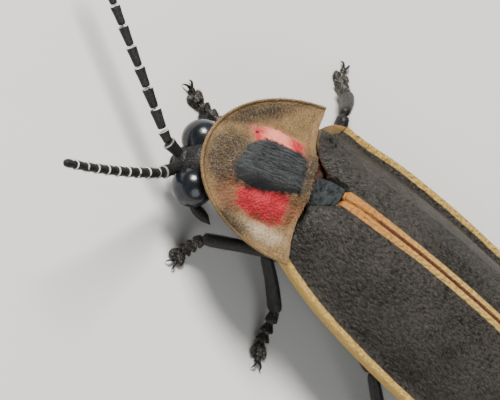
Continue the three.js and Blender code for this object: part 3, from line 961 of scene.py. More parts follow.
BLACK_HORN = CuticleFinish()
FEELER_HORN = CuticleFinish("feeler_horn", (0.004, 0.0035, 0.004), (0.028, 0.026, 0.025), roughness=0.42,
                            pits=30.0)
SCUTELLUM_HORN = HornFinish("scutellum_horn", (0.001, 0.0013, 0.0014), (0.045, 0.053, 0.055), 0.33, 9.0, 0.16)
BELLY_HORN = HornFinish("belly_horn", (0.012, 0.009, 0.008), (0.06, 0.045, 0.036), 0.45, 14.0, 0.02, 0.6)
PALE_HORN = HornFinish("pale_wax", (0.52, 0.44, 0.2), (0.72, 0.66, 0.4), 0.42, 9.0, 0.015, 0.7, 0.2)
SEAM_SKIN = HornFinish("seam_skin", (0.006, 0.003, 0.002), (0.055, 0.022, 0.012), 0.5, 18.0, 0.04)
SILVER_HAIR = HairFinish("silver_hair", (0.012, 0.011, 0.009), (0.115, 0.105, 0.09))
GOLD_HAIR = HairFinish("gold_hair", (0.06, 0.036, 0.014), (0.27, 0.185, 0.09))
DARK_HAIR = HairFinish("dark_hair", (0.006, 0.0055, 0.005), (0.06, 0.055, 0.05))
PAD_HAIR = HairFinish("pad_hair", (0.05, 0.042, 0.033), (0.34, 0.3, 0.23))


@dataclass
class Workshop:
    """The materials and the source of chance that all pieces share."""

    rng: np.random.Generator = field(default_factory=lambda: np.random.default_rng(SEED))
    made: dict[str, bpy.types.Material] = field(default_factory=dict)

    def finish(self, recipe: Finish) -> bpy.types.Material:
        """The recipe's material, made once.

        Args:
            recipe: the finish.

        Returns:
            Its material.
        """
        if recipe.name not in self.made:
            self.made[recipe.name] = recipe.make()
        return self.made[recipe.name]

    def coat(self, name: str, recipe: HairFinish, slot: Slot) -> Coat:
        """An empty coat of hair."""
        return Coat(name, self.finish(recipe), slot)


# Shield


@dataclass(frozen=True)
class Blot:
    """A marking on the shield, as the corners of its outline across and along."""

    corners: tuple[tuple[float, float], ...]

    def depth(self, x: Array, y: Array) -> Array:
        """How far inside the outline places lie.

        Args:
            x: the places across the shield.
            y: the places along it.

        Returns:
            Depths in mm, negative outside and never under -1.
        """
        ends = np.array(self.corners)
        nexts = np.roll(ends, -1, axis=0)
        turning = np.sign(np.sum(ends[:, 0] * nexts[:, 1] - nexts[:, 0] * ends[:, 1]))
        depth = np.full(np.shape(x), np.inf)
        for (x0, y0), (x1, y1) in zip(ends, nexts):
            away = ((x1 - x0) * (y - y0) - (y1 - y0) * (x - x0)) * turning / math.hypot(x1 - x0, y1 - y0)
            depth = np.minimum(depth, away)
        return np.maximum(depth, -1.0)


def depth_in(blots: Sequence[Blot], x: Array, y: Array) -> Array:
    """How far inside the nearest of some markings places lie, in mm."""
    return np.max([blot.depth(x, y) for blot in blots], axis=0)


BLOTS = {
    "black": (
        Blot(((0.3, -1.76), (-0.02, -1.7), (-0.36, -1.58), (-0.6, -1.2), (-0.56, -0.36), (-0.42, -0.2),
              (0.3, -0.15), (0.46, -0.22), (0.6, -0.83), (0.66, -1.4), (0.58, -1.64))),
    ),
    "pink_right": (
        Blot(((-0.8, -1.55), (-0.95, -1.2), (-0.84, -0.33), (-0.5, -0.33), (-0.45, -1.45))),
    ),
    "pink_left": (
        Blot(((0.7, -1.54), (0.45, -1), (0.55, -0.42), (1.1, -0.36), (1.25, -0.6), (1.17, -1.1),
              (1.0, -1.48))),
    ),
    "dusk": (
        Blot(((-0.85, -2.08), (-1.25, -1.75), (-1.62, -1.1), (-1.7, -0.74), (-1.4, -1.05), (-0.88, -1.64))),
        Blot(((0.12, -2.38), (-0.31, -2.3), (-0.65, -1.96), (-0.45, -1.6), (0.45, -1.6), (0.7, -1.95),
              (0.47, -2.25))),
        Blot(((1.4, -2), (1.2, -1.65), (1.45, -1.15), (1.62, -1.05), (1.78, -1.39))),
        Blot(((-0.62, -0.25), (-0.62, 0.12), (0.5, 0.08), (0.5, -0.2))),
    ),
    "brown": (
        Blot(((0.95, -1.95), (0.3, -1.92), (0.3, -1.65), (0.75, -1.5), (1.12, -1.42), (1.2, -1.66))),
        Blot(((0.6, -0.43), (0.55, -0.05), (0.99, -0.08), (1.1, -0.3))),
    ),
    "pale": (
        Blot(((1.28, -1.5), (1.05, -1.4), (1.2, -0.75), (1.12, -0.3), (1.5, -0.18), (1.7, -0.45),
              (1.6, -1.05))),
    ),
}


@dataclass
class Shield:
    """The broad plate over the head and the front of the thorax."""

    half_width: float = 1.95
    length: float = 2.5
    hind_edge: float = 0.07
    centre_y: float = -1.0
    dome: float = 0.36
    disc_thickness: float = 0.46
    margin_thickness: float = 0.22
    edge_thickness: float = 0.07
    edge_bulge: float = 0.012
    hind_notch: float = 0.05
    rim_height: float = 0.035
    rim_width: float = 0.065
    trough_depth: float = 0.02
    trough_inward: float = 0.14
    fold_height: float = 0.045
    fold_groove: float = 0.03
    groove_depth: float = 0.03
    ripple_height: float = 0.012
    # The low swellings under the pink marks: their places across, their place along and their size
    swellings: tuple[float, float] = (-0.75, 0.88)
    swelling_y: float = -0.95
    swelling_radii: tuple[float, float] = (0.26, 0.5)
    swelling_height: float = 0.07
    # The hollow beside the left one
    hollow_at: tuple[float, float] = (1.2, -0.85)
    hollow_radii: tuple[float, float] = (0.1, 0.35)
    hollow_depth: float = 0.05
    around: int = 288
    rows: int = 76
    edge_rows: int = 7
    hairs: int = 6500
    fringe: int = 500
    mark_margin: float = 0.02
    hair_on_pink: float = 0.1
    hair_on_patch: float = 0.3

    def edge(self, angle: Array) -> Array:
        """The outline: half an ellipse in front, and a nearly straight hind edge with sharp hind angles.

        Args:
            angle: directions round the shield, 0 to the left and a quarter turn to the front.

        Returns:
            Places across and along.
        """
        front = np.sin(angle) >= 0
        c = np.cos(angle)
        lobe = self.hind_edge * smooth(0.75, 1, 1 - c * c) - self.hind_notch * smooth(0.1, 0.5, 1 - c * c)
        y = np.where(front, -self.length * np.sin(angle), lobe)
        return np.stack([self.half_width * c, y], axis=-1)

    def reach(self, x: Array, y: Array) -> Array:
        """How far out a place lies: 1 on the front outline, less inside it."""
        return np.hypot(x / self.half_width, np.minimum(0, y) / self.length)

    def inward(self, x: Array, y: Array) -> Array:
        """How far in from the edge a place lies, in mm."""
        from_side = (1 - self.reach(x, y)) * self.half_width
        return np.minimum(from_side, np.maximum(0, self.hind_edge - y))

    def top(self, x: Array, y: Array) -> Array:
        """The upper face: a disc, a turned-up rim with a trough inside it, a folded hind edge and swellings.

        Args:
            x: places across.
            y: places along.

        Returns:
            The heights.
        """
        reach, side = self.reach(x, y), np.abs(x)
        across = 1 - 0.5 * smooth(0.42, 0.72, side) - 0.5 * smooth(0.6, 1.25, side)
        along = 1 - smooth(0.5 * self.length, 0.86 * self.length, -y)
        crown = self.dome * across * (0.35 + 0.65 * along) * (1 - smooth(0.8, 1, reach))
        inward = (1 - reach) * self.half_width
        rim = self.rim_height * (1 - smooth(0.02, self.rim_width, inward))
        trough = -self.trough_depth * bell(inward, self.trough_inward, 0.06)
        fold = self.fold_height * bell(y, 0.0, 0.07) - self.fold_groove * bell(y, -0.16, 0.08)
        fold = fold * (1 - smooth(1.5, 1.9, side))
        groove = -self.groove_depth * bell(x, 0.0, 0.06) * along * across
        swells = sum(
            self.swelling_height * hill(x, y, (middle, self.swelling_y), self.swelling_radii)
            for middle in self.swellings
        )
        swells = swells - self.hollow_depth * hill(x, y, self.hollow_at, self.hollow_radii)
        ripple = self.ripple_height * np.sin(9 * x + 3 * y) * np.sin(7 * y - 2 * x) * smooth(0.1, 0.4, inward)
        return -self.dome + crown + rim + trough + fold + groove + swells + ripple

    def under(self, x: Array, y: Array) -> Array:
        """The lower face, closest to the upper one at the edge.

        Args:
            x: places across.
            y: places along.

        Returns:
            The heights.
        """
        top = self.top(x, y)
        lift = np.clip((top + self.dome) / self.dome, 0, 1)
        thicker = (self.margin_thickness - self.edge_thickness) * smooth(0.02, 0.5, self.inward(x, y))
        blade = self.edge_thickness + thicker
        return top - blade - (self.disc_thickness - self.margin_thickness) * lift

    def surface(self) -> Skin:
        """The upper face, the rounded edge and the lower face in one.

        Returns:
            The surface, with the marks that its finish reads.
        """
        angle = 2 * np.pi * (np.arange(self.around) + 0.5) / self.around
        share = 1 - (1 - np.linspace(0.004, 1, self.rows)) ** 1.25
        centre = np.array([0, self.centre_y])
        flat = centre + (self.edge(angle) - centre) * share[:, None, None]
        x, y = flat[..., 0], flat[..., 1]
        above = np.stack([x, y, self.top(x, y)], axis=-1)
        below = np.stack([x, y, self.under(x, y)], axis=-1)[::-3]
        middle = (above[-1] + below[0]) / 2
        outline = []
        for turn in np.linspace(0, np.pi, self.edge_rows + 2)[1:-1]:
            ring = above[-1] * (1 + math.cos(turn)) / 2 + below[0] * (1 - math.cos(turn)) / 2
            push = 1 + self.edge_bulge * math.sin(turn)
            ring[:, :2] = centre + (middle[:, :2] - centre) * push
            outline.append(ring)
        local = np.concatenate([above, np.array(outline), below])
        x, y = local[..., 0], local[..., 1]
        marks = {"across": x, "along": y, "inward": self.inward(x, y)}
        marks |= {name: depth_in(blots, x, y) for name, blots in BLOTS.items()}
        return Skin(SHIELD.out(local), marks)

    def build(self, shop: Workshop) -> None:
        """Makes the plate and its hairs.

        Args:
            shop: the shared materials.
        """
        skin = self.surface()
        Body(skin).make("shield", shop.finish(ShieldFinish()), Slot.SHIELD, ["pronotum"])
        self.grow_hair(skin, shop)

    def grow_hair(self, skin: Skin, shop: Workshop) -> None:
        """Grows gold hair on the plate, thin on the pink marks, a short fringe, and grey hair on the patch.

        Args:
            skin: the plate's surface.
            shop: the shared materials.
        """
        upper = np.zeros(skin.rings.shape[:2])
        upper[: self.rows - 1] = 1
        roots = skin.scatter(self.hairs, shop.rng, upper)
        spot = SHIELD.into(roots.root)
        forward = SHIELD.turn @ np.array([0, -1.0, 0.0])
        outward = (spot - np.array([0, -0.6, 0])) * np.array([1, 0.9, 0])
        flow = unit(outward) @ SHIELD.turn.T + forward * 0.3
        gold = shop.coat("shield_hair", GOLD_HAIR, Slot.SHIELD)
        pink = depth_in(BLOTS["pink_left"] + BLOTS["pink_right"], spot[:, 0], spot[:, 1])
        kept = (pink < -self.mark_margin) | (shop.rng.random(len(roots)) < self.hair_on_pink)
        roots, spot, flow = roots.only(kept), spot[kept], flow[kept]
        patch = depth_in(BLOTS["black"], spot[:, 0], spot[:, 1]) > -self.mark_margin
        gold.grow(roots.only(~patch), SHIELD_DOWN, shop.rng, flow[~patch])
        rim = np.zeros(skin.rings.shape[:2])
        rim[self.rows : self.rows + self.edge_rows - 2] = 1
        edge = skin.scatter(self.fringe, shop.rng, rim)
        away = unit(edge.root - SHIELD.out(np.zeros((1, 3))))
        gold.grow(edge, RIM_DOWN, shop.rng, edge.normal * 0.2 + away)
        gold.make()
        grey = shop.coat("shield_patch_hair", SILVER_HAIR, Slot.SHIELD)
        disc = roots.only(patch & (shop.rng.random(len(roots)) < self.hair_on_patch))
        grey.grow(disc, PATCH_DOWN, shop.rng, np.repeat(forward[None], len(disc), axis=0))
        grey.make()


# Wing covers


@dataclass(frozen=True)
class Bump:
    """A round swelling at the base of a wing cover."""

    x: float
    y: float
    radius: float
    height: float

    def rise(self, x: Array, y: Array) -> Array:
        """The swelling's height at each place."""
        return self.height * np.exp(-((x - self.x) ** 2 + (y - self.y) ** 2) / self.radius**2)

    def crown(self, x: Array, y: Array) -> Array:
        """1 on the swelling and 0 beside it."""
        spread = ((x - self.x) ** 2 + (y - self.y) ** 2) / (self.radius * 0.95) ** 2
        return np.exp(-(spread**2))

    def moat(self, x: Array, y: Array) -> Array:
        """1 in a ring round the swelling and 0 elsewhere."""
        return bell(np.hypot(x - self.x, y - self.y), 1.7 * self.radius, 0.05)


@dataclass
class WingCover:
    """One of the two long soft wing covers."""

    side: Side
    length: float = 9.15
    suture_gap: float = 0.035
    disc_thickness: float = 0.45
    margin_thickness: float = 0.24
    margin_from: float = 0.86
    wedge_sink: float = 0.16
    shield_gap: float = 0.05
    tip_round: float = 0.5
    crown_round: float = 0.005
    edge_lift: float = 0.05
    lip_depth: float = 0.1
    seam_height: float = 0.03
    moat_depth: float = 0.04
    shoulder: Bump = Bump(1.35, -0.4, 0.42, 0.07)
    knob: Bump = Bump(1.14, -0.86, 0.15, 0.11)
    across_steps: int = 110
    along_steps: int = 300
    # Each ridge's place across the cover and its height
    ridges: tuple[tuple[float, float], ...] = ((0.26, 0.018), (0.5, 0.014), (0.7, 0.006))
    ridge_width: float = 0.035
    hairs: int = 16000
    half: Profile = Profile((-1.1, 1.7), (-0.6, 1.81), (-0.1, 1.91), (0.4, 2.02), (1, 2.14), (1.8, 2.24),
                            (3, 2.32), (4.5, 2.33), (6, 2.27), (7, 2.12), (8, 1.8), (8.7, 1.34), (9.15, 0.85))
    suture: Profile = Profile((-0.95, 2.6), (0, 2.86), (1, 3.06), (2, 3.22), (3, 3.32), (4.5, 3.38),
                              (6, 3.34), (7.6, 3.08), (8.6, 2.72), (9.15, 2.4))
    margin: Profile = Profile((-0.95, 2.3), (-0.35, 2.2), (0.5, 2.12), (3, 2.06), (6, 2.04), (9.15, 2.1))
    base: Profile = Profile((0, 0.02), (0.1, -0.3), (0.22, -0.66), (0.4, -0.94), (0.6, -1.06), (0.78, -1.05),
                            (0.93, -0.86), (1, -0.56))

    def top(self, across: Array, along: Array) -> Array:
        """Places on the upper face.

        Args:
            across: 0 at the suture, 1 at the outer edge.
            along: 0 at the base, 1 at the tip.

        Returns:
            The points, for the left wing cover.
        """
        end = self.length - self.tip_round * (1 - np.sqrt(1 - 0.96 * across**2))
        start = self.base(across)
        y = start + (end - start) * along
        x = self.suture_gap + (self.half(y) - self.suture_gap) * across
        fall = 1 - (across / self.margin_from) ** 2.5
        crown = (fall + np.sqrt(fall**2 + self.crown_round)) / 2
        turned_up = self.edge_lift * smooth(self.margin_from, 1, across)
        bumps = self.shoulder.rise(x, y) + self.knob.rise(x, y) - self.moat_depth * self.knob.moat(x, y)
        lip = self.lip_depth * (1 - smooth(0, 0.05, along)) * (1 - smooth(0.8, 1, across))
        ridges = sum(size * bell(across, at, self.ridge_width) for at, size in self.ridges)
        ridges = ridges * smooth(0.04, 0.16, along) * (1 - smooth(0.7, 0.95, along))
        seam = self.seam_height * (1 - smooth(0.05, 0.16, x - self.suture_gap))
        arch = self.margin(y) + (self.suture(y) - self.margin(y)) * crown
        return np.stack([x, y, arch + turned_up + bumps - lip + ridges + seam], axis=-1)

    def thickness(self, across: Array) -> Array:
        """The cover's thickness."""
        thinner = self.margin_thickness - self.disc_thickness
        return self.disc_thickness + thinner * smooth(0.55, 0.95, across)

    def under_shield(self, points: Array, shield: Shield) -> Array:
        """Keeps points below the shield's lower face where the shield lies over them.

        Args:
            points: the points.
            shield: the plate.

        Returns:
            The points, lowered where need be.
        """
        spot = SHIELD.into(points)
        x, y, z = spot[..., 0], spot[..., 1], spot[..., 2]
        covered = (shield.reach(x, y) < 1.03) & (y < 0.1)
        widest = shield.half_width - 0.01
        limit = shield.under(np.clip(x, -widest, widest), y) - self.shield_gap
        spot[..., 2] = np.where(covered, np.minimum(z, limit), z)
        return SHIELD.out(spot)

    def surface(self, shield: Shield, wedge: "Scutellum") -> Skin:
        """The upper and the lower face in one.

        Args:
            shield: the plate that lies over its base.
            wedge: the scutellum, in whose notch its corner ends.

        Returns:
            The surface, with the marks that its finish reads.
        """
        across = 1 - (1 - np.linspace(0, 1, self.across_steps)) ** 1.1
        along = np.linspace(0, 1, self.along_steps) ** 1.12
        across, along = np.meshgrid(across, along)
        upper = self.top(across, along)
        back = slice(None, None, -3)
        lower = upper[:, back].copy()
        lower[..., 2] -= self.thickness(across)[:, back]
        both = np.concatenate([upper, lower], axis=1)
        rings = self.under_shield(both * np.array([self.side.value, 1, 1]), shield)
        rings[..., 2] -= self.wedge_sink * wedge.over(rings)
        x, y = np.abs(both[..., 0]), both[..., 1]
        marks = {
            "span": x - self.suture_gap,
            "edge": self.half(y) - x,
            "run": y,
            "base": y - self.base(np.concatenate([across, across[:, back]], axis=1)),
            "knob": self.knob.crown(x, y),
        }
        return Skin(rings, marks)

    def build(self, shop: Workshop, shield: Shield, wedge: "Scutellum") -> None:
        """Makes the cover and its hairs.

        Args:
            shop: the shared materials.
            shield: the plate that lies over its base.
            wedge: the scutellum, in whose notch its corner ends.
        """
        skin = self.surface(shield, wedge)
        word = self.side.word
        Body(skin).make(f"wing_cover_{word}", shop.finish(WingFinish()), Slot.WING, [f"elytron_{word}"])
        self.grow_hair(skin, shop)

    def grow_hair(self, skin: Skin, shop: Workshop) -> None:
        """Grows fine hair on the upper face, sparse on the yellow bands and the knob.

        Args:
            skin: the cover's surface.
            shop: the shared materials.
        """
        weight = np.zeros(skin.rings.shape[:2])
        weight[:, : self.across_steps - 1] = 1
        from_edge = np.minimum(skin.marks["span"], skin.marks["edge"])
        weight *= (1 - 0.9 * skin.marks["knob"]) * (0.25 + 0.75 * smooth(0.15, 0.2, from_edge))
        roots = skin.scatter(self.hairs, shop.rng, weight)
        x, y = roots.root[:, :1], roots.root[:, 1:2]
        wave = np.sin(x * 3.1 + y * 0.9) * 0.35 + self.side.value * 0.25
        flow = np.array([[0, 1.0, 0]]) + wave * np.array([[1.0, 0, 0]])
        coat = shop.coat(f"wing_hair_{self.side.word}", SILVER_HAIR, Slot.WING)
        coat.grow(roots, WING_DOWN, shop.rng, flow)
        coat.make()


@dataclass
class Scutellum:
    """The small blunt wedge between the bases of the wing covers."""

    base: Point = (0.23, -0.62, 2.38)
    tip: Point = (-0.04, 0.04, 2.76)
    thickness: float = 0.26
    skin_thickness: float = 0.12
    half: Profile = Profile((0, 0.43), (0.35, 0.42), (0.75, 0.32), (0.93, 0.26), (1, 0.2))

    def over(self, points: Array) -> Array:
        """How far points lie under the wedge.

        Args:
            points: the points.

        Returns:
            1 under it and 0 beside it.
        """
        base, tip = np.array(self.base), np.array(self.tip)
        share = (points[..., 1] - base[1]) / (tip[1] - base[1])
        away = np.abs(points[..., 0] - base[0] - share * (tip[0] - base[0])) / self.half(share)
        return (1 - smooth(1.0, 1.1, away)) * (1 - smooth(1.0, 1.08, share))

    def build(self, shop: Workshop) -> None:
        """Makes the wedge.

        Args:
            shop: the shared materials.
        """
        t, u = np.linspace(0, 1, 40), np.linspace(-1, 1, 41)
        centre = np.array(self.base) + t[:, None] * (np.array(self.tip) - np.array(self.base))
        crown = 0.05 * np.sin(np.pi * np.minimum(1, t + 0.15))
        shape = (1 - np.abs(u) ** 6) - 0.6 * bell(u, 0.0, 0.3) + 0.5 * bell(np.abs(u), 0.82, 0.12)
        height = crown[:, None] * shape[None] - 0.05 * np.abs(u[None]) ** 8
        height = height - 0.06 * smooth(0.93, 1, t)[:, None]
        x0, y0, z0 = (centre[:, k, None] for k in range(3))
        x = x0 + self.half(t)[:, None] * u[None]
        upper = np.stack([x, np.broadcast_to(y0, x.shape), z0 + height], axis=-1)
        lower = upper[:, ::-4].copy()
        lower[..., 2] = z0 - self.thickness
        skin = Skin(np.concatenate([upper, lower], axis=1))
        Body(skin).make("scutellum_wedge", shop.finish(SCUTELLUM_HORN), Slot.SCUTELLUM, ["scutellum"])
        self.build_seam(shop)

    def build_seam(self, shop: Workshop) -> None:
        """Makes the folded skin in the corners between the wedge, the shield and the wing covers.

        Args:
            shop: the shared materials.
        """
        x, y = np.meshgrid(np.linspace(-0.85, 0.95, 60), np.linspace(-1.05, -0.12, 40))
        y = y + 0.25 * x
        height = 2.42 - 0.12 * np.abs(x) + 0.02 * np.sin(y * 30 + x * 5)
        upper = np.stack([x, y, height], axis=-1)
        lower = upper[:, ::-3].copy()
        lower[..., 2] -= self.skin_thickness
        skin = Skin(np.concatenate([upper, lower], axis=1))
        Body(skin).make("wing_root_skin", shop.finish(SEAM_SKIN), Slot.SCUTELLUM)


# Limbs


# How much the rings of a limb crowd towards its ends, and how narrow the end rings are
CROWDING = 0.35
BLUNT_END = 0.25


def spaced(steps: int) -> Array:
    """Shares of a length from 0 to 1, closer together towards the ends."""
    even = np.linspace(0, 1, steps)
    return (1 - np.cos(np.pi * even)) / 2 * CROWDING + even * (1 - CROWDING)


def tube(joints: Sequence, wide: Profile, flat: float = 1.0, steps: int = 40, sides: int = 24,
         round_ends: float = 0.03, up: Sequence[float] = (0, 0, 1),
         marks: Optional[Callable[[Array], dict[str, Array]]] = None) -> Skin:
    """A limb of one width profile round a smooth curve.

    Args:
        joints: the points that it passes.
        wide: its half-height along its length.
        flat: its half-width as a share of the half-height.
        steps: rings along it.
        sides: points round a ring.
        round_ends: the share of the length over which each end closes.
        up: the side on which the half-height is measured.
        marks: numbers for the finish from shares of the length.

    Returns:
        The surface.
    """
    share = spaced(steps)
    centre, along = curve_through(joints, share)
    side = unit(np.cross(along, np.asarray(up, float)))
    over = np.cross(side, along)
    close = np.sqrt(np.clip(np.minimum(share, 1 - share) / round_ends, 0, 1))
    high = wide(share) * np.maximum(close, BLUNT_END)
    angle = 2 * np.pi * np.arange(sides) / sides
    ring = side[:, None] * ((high * flat)[:, None] * np.cos(angle))[..., None]
    ring = ring + over[:, None] * (high[:, None] * np.sin(angle))[..., None]
    named = {name: values[:, None] for name, values in marks(share).items()} if marks else None
    return Skin(centre[:, None] + ring, named)


@dataclass
class Leg:
    """One leg: hip, thigh, shin and a foot of five joints with two claws."""

    name: str
    hip: Point
    trochanter: Point
    knee: Point
    ankle: Point
    toe: Point
    pad_height: float = 0.085
    heel_rise: float = 0.1
    shin_bow: float = 0.05
    hair_height: float = 0.004
    coxa: Profile = Profile((0, 0.25), (0.6, 0.22), (1, 0.19))
    thigh: Profile = Profile((0, 0.13), (0.12, 0.17), (0.45, 0.24), (0.8, 0.2), (0.95, 0.17), (1, 0.1))
    shin: Profile = Profile((0, 0.11), (0.1, 0.15), (0.5, 0.17), (0.9, 0.18), (1, 0.15))
    foot: Profile = Profile((0, 0.1), (0.2, 0.13), (0.225, 0.075), (0.4, 0.14), (0.425, 0.075), (0.58, 0.15),
                            (0.605, 0.07), (0.72, 0.14), (0.8, 0.1), (0.86, 0.06), (1, 0.075))
    lobe: Profile = Profile((0, 0.06), (0.6, 0.075), (1, 0.06))
    claw: Profile = Profile((0, 0.045), (0.6, 0.03), (1, 0.008))

    def build(self, shop: Workshop) -> None:
        """Makes the leg's four pieces and their hairs.

        Args:
            shop: the shared materials.
        """
        horn = shop.finish(BLACK_HORN)
        joints = (self.hip, self.trochanter, self.knee, self.ankle, self.toe)
        hip, trochanter, knee, ankle, toe = (np.array(joint) for joint in joints)
        coxa = tube([hip, trochanter], self.coxa, 1.0, 20, 24, 0.12, (0, 1, 0.1))
        thigh = tube([trochanter, knee], self.thigh, 0.8, 44)
        bow = (knee + ankle) / 2 + np.array([0, 0, self.shin_bow])
        shin = tube([knee, bow, ankle], self.shin, 0.78, 44)
        name = f"leg_{self.name}"
        for word, skin in (("coxa", coxa), ("femur", thigh), ("tibia", shin)):
            Body(skin).make(f"{name}_{word}_skin", horn, Slot.BLACK, [f"{name}_{word}"])
        foot = self.foot_skins(ankle, toe)
        Body(*foot).make(f"{name}_foot", horn, Slot.BLACK, [f"{name}_tarsus"])
        down = shop.coat(f"{name}_hair", DARK_HAIR, Slot.BLACK)
        down.grow(thigh.scatter(700, shop.rng), THIGH_DOWN, shop.rng)
        down.grow(shin.scatter(800, shop.rng), SHIN_DOWN, shop.rng)
        down.make()
        pads = shop.coat(f"{name}_pad_hair", PAD_HAIR, Slot.BLACK)
        pads.grow(foot[0].scatter(600, shop.rng), FOOT_DOWN, shop.rng)
        for lobe in foot[1:3]:
            pads.grow(lobe.scatter(200, shop.rng), LOBE_DOWN, shop.rng)
        pads.keep_above(self.hair_height)
        pads.make()

    def foot_skins(self, ankle: Array, toe: Array) -> list[Skin]:
        """The foot's stem, the two lobes of its cleft joint and its two claws.

        Args:
            ankle: where the foot starts.
            toe: where it ends.

        Returns:
            The surfaces, the stem first.
        """
        reach = toe - ankle
        flat = unit(np.array([reach[0], reach[1], 0]))
        across = np.array([-flat[1], flat[0], 0])
        level = math.hypot(reach[0], reach[1])

        def beside(start: Array, forward: float, sideways: float, height: float) -> Array:
            """A place ahead of the start and to its side, at that height."""
            place = start + flat * forward + across * sideways
            return np.array([place[0], place[1], height])

        heel = beside(ankle + reach * 0.5 * min(1, level / 0.8), 0, 0, self.pad_height + self.heel_rise)
        pad = beside(toe, -min(0.36, 0.42 * level), 0, self.pad_height)
        end = beside(toe, 0, 0, self.pad_height)
        skins = [tube([ankle, heel, pad, end], self.foot, 1.16, 96, 20, 0.02)]
        for sign in (-1, 1):
            tip = beside(pad, 0.24, sign * 0.17, 0.06)
            skins.append(tube([pad - flat * 0.08, tip], self.lobe, 1.5, 20, 16, 0.2))
        for sign in (-1, 1):
            bend = beside(end, 0.1, sign * 0.08, 0.13)
            tip = beside(end, 0.18, sign * 0.12, 0.03)
            skins.append(tube([end - flat * 0.05, bend, tip], self.claw, 0.8, 24, 10, 0.02))
        for skin in skins:
            skin.rings[..., 2] = np.maximum(skin.rings[..., 2], 0.0)
        return skins


LEGS = (
    Leg("front_left", (0.92, -1.78, 1.22), (1.0, -1.66, 0.92), (1.66, -0.27, 1.82), (1.88, -1.48, 0.62),
        (2.48, -1.6, 0.13)),
    Leg("front_right", (0.22, -2.0, 1.22), (0.06, -1.98, 0.9), (-1.25, -1.18, 1.72), (-0.78, -2.36, 0.56),
        (-1.2, -3.42, 0.13)),
    Leg("middle_left", (0.4, 0.5, 1.0), (0.5, 0.62, 0.7), (1.55, -0.31, 1.38), (1.95, 0.93, 0.52),
        (2.98, 1.36, 0.13)),
    Leg("middle_right", (-0.4, 0.45, 1.0), (-0.6, 0.42, 0.72), (-2.5, -0.52, 1.62), (-3.6, -0.28, 0.56),
        (-4.46, -0.5, 0.13)),
    Leg("hind_left", (0.45, 1.75, 0.98), (0.68, 1.85, 0.74), (2.0, 3.3, 1.46), (2.8, 5.0, 0.5),
        (3.3, 6.1, 0.13)),
    Leg("hind_right", (-0.45, 1.75, 0.98), (-0.68, 1.85, 0.74), (-1.8, 3.45, 1.42), (-2.5, 5.15, 0.5),
        (-2.9, 6.3, 0.13)),
)


@dataclass
class Feeler:
    """An antenna of eleven joints, each with a pale ring at its far end."""

    side: Side
    root: Point
    scape_end: Point
    pedicel_end: Point
    step: Point
    bend: Point
    joints: int = 9
    scape_radius: float = 0.135
    pedicel_radius: float = 0.112
    first_radius: float = 0.118
    taper: float = 0.003
    hairs: int = 200
    middle_shape: Profile = Profile((0, 0.58), (0.08, 0.76), (0.5, 0.87), (0.86, 1.0), (0.95, 0.99), (1, 0.7))
    last_shape: Profile = Profile((0, 0.55), (0.25, 0.82), (0.6, 0.88), (0.85, 0.66), (1, 0.16))

    def joint(self, start: Array, end: Array, radius: float, last: bool = False, ring: float = 1.0) -> Skin:
        """One joint: a cone that widens to a pale rim.

        Args:
            start: its near end.
            end: its far end.
            radius: its half-width at the rim.
            last: whether it is the tip, which has no ring.
            ring: how white the ring is.

        Returns:
            The surface.
        """
        shape = self.last_shape if last else self.middle_shape

        def marks(share: Array) -> dict[str, Array]:
            """The ring's whiteness along the joint."""
            white = smooth(0.9, 0.925, share) * (1 - smooth(0.965, 0.98, share)) * (0 if last else ring)
            return {"ring": white}

        return tube([start, end], shape.scaled(radius), 1.12, 36, 20, 0.02, (0.2, 0.1, 1), marks)

    def build(self, shop: Workshop) -> None:
        """Makes the antenna and its hairs.

        Args:
            shop: the shared materials.
        """
        horn = shop.finish(FEELER_HORN)
        root, scape_end, pedicel_end = (np.array(p) for p in (self.root, self.scape_end, self.pedicel_end))
        step, bend = np.array(self.step), np.array(self.bend)
        pedicel = scape_end + unit(pedicel_end - scape_end) * 0.01
        base = [
            self.joint(root, scape_end, self.scape_radius, ring=0.4),
            self.joint(pedicel, pedicel_end, self.pedicel_radius, ring=0.8),
        ]
        start = pedicel_end + unit(step) * 0.05

        def spot(n: float) -> Array:
            """The place of a joint's end along the flagellum."""
            return start + step * n + bend * (n / self.joints) ** 2

        rest = [
            self.joint(spot(n), spot(n + 0.985), self.first_radius - self.taper * n, n == self.joints - 1)
            for n in range(self.joints)
        ]
        word = self.side.word
        down = shop.coat(f"antenna_{word}_hair", DARK_HAIR, Slot.BLACK)
        for part, skins in (("base", base), ("flagellum", rest)):
            for skin in skins:
                down.grow(skin.scatter(self.hairs, shop.rng), FEELER_DOWN, shop.rng)
            Body(*skins).make(f"antenna_{word}_{part}_skin", horn, Slot.BLACK, [f"antenna_{word}_{part}"])
        down.make()


FEELERS = (
    Feeler(Side.LEFT, (1.28, -3.08, 1.12), (1.7, -3.33, 1.24), (1.866, -3.466, 1.32), (0.31, -0.272, 0.214),
           (-0.16, -0.14, 0.05)),
    Feeler(Side.RIGHT, (0.96, -3.16, 1.1), (0.98, -3.57, 1.18), (0.863, -3.818, 1.2), (-0.243, -0.425, 0.033),
           (0, 0, -0.12)),
)


# Head


def ball(centre: Sequence[float], radii: Sequence[float], rows: int = 48, columns: int = 64) -> Skin:
    """An ellipsoid in the head's frame.

    Args:
        centre: its middle there.
        radii: its half-sizes.
        rows: rings from pole to pole.
        columns: points round a ring.

    Returns:
        The surface.
    """
    latitude = np.linspace(0.02, np.pi - 0.02, rows)[:, None]
    longitude = 2 * np.pi * np.arange(columns)[None] / columns
    level = np.sin(latitude)
    high = np.broadcast_to(np.cos(latitude), (rows, columns))
    shape = np.stack([level * np.cos(longitude), level * np.sin(longitude), high], axis=-1)
    return Skin(HEAD.out(np.asarray(centre) + shape * np.array(radii)))


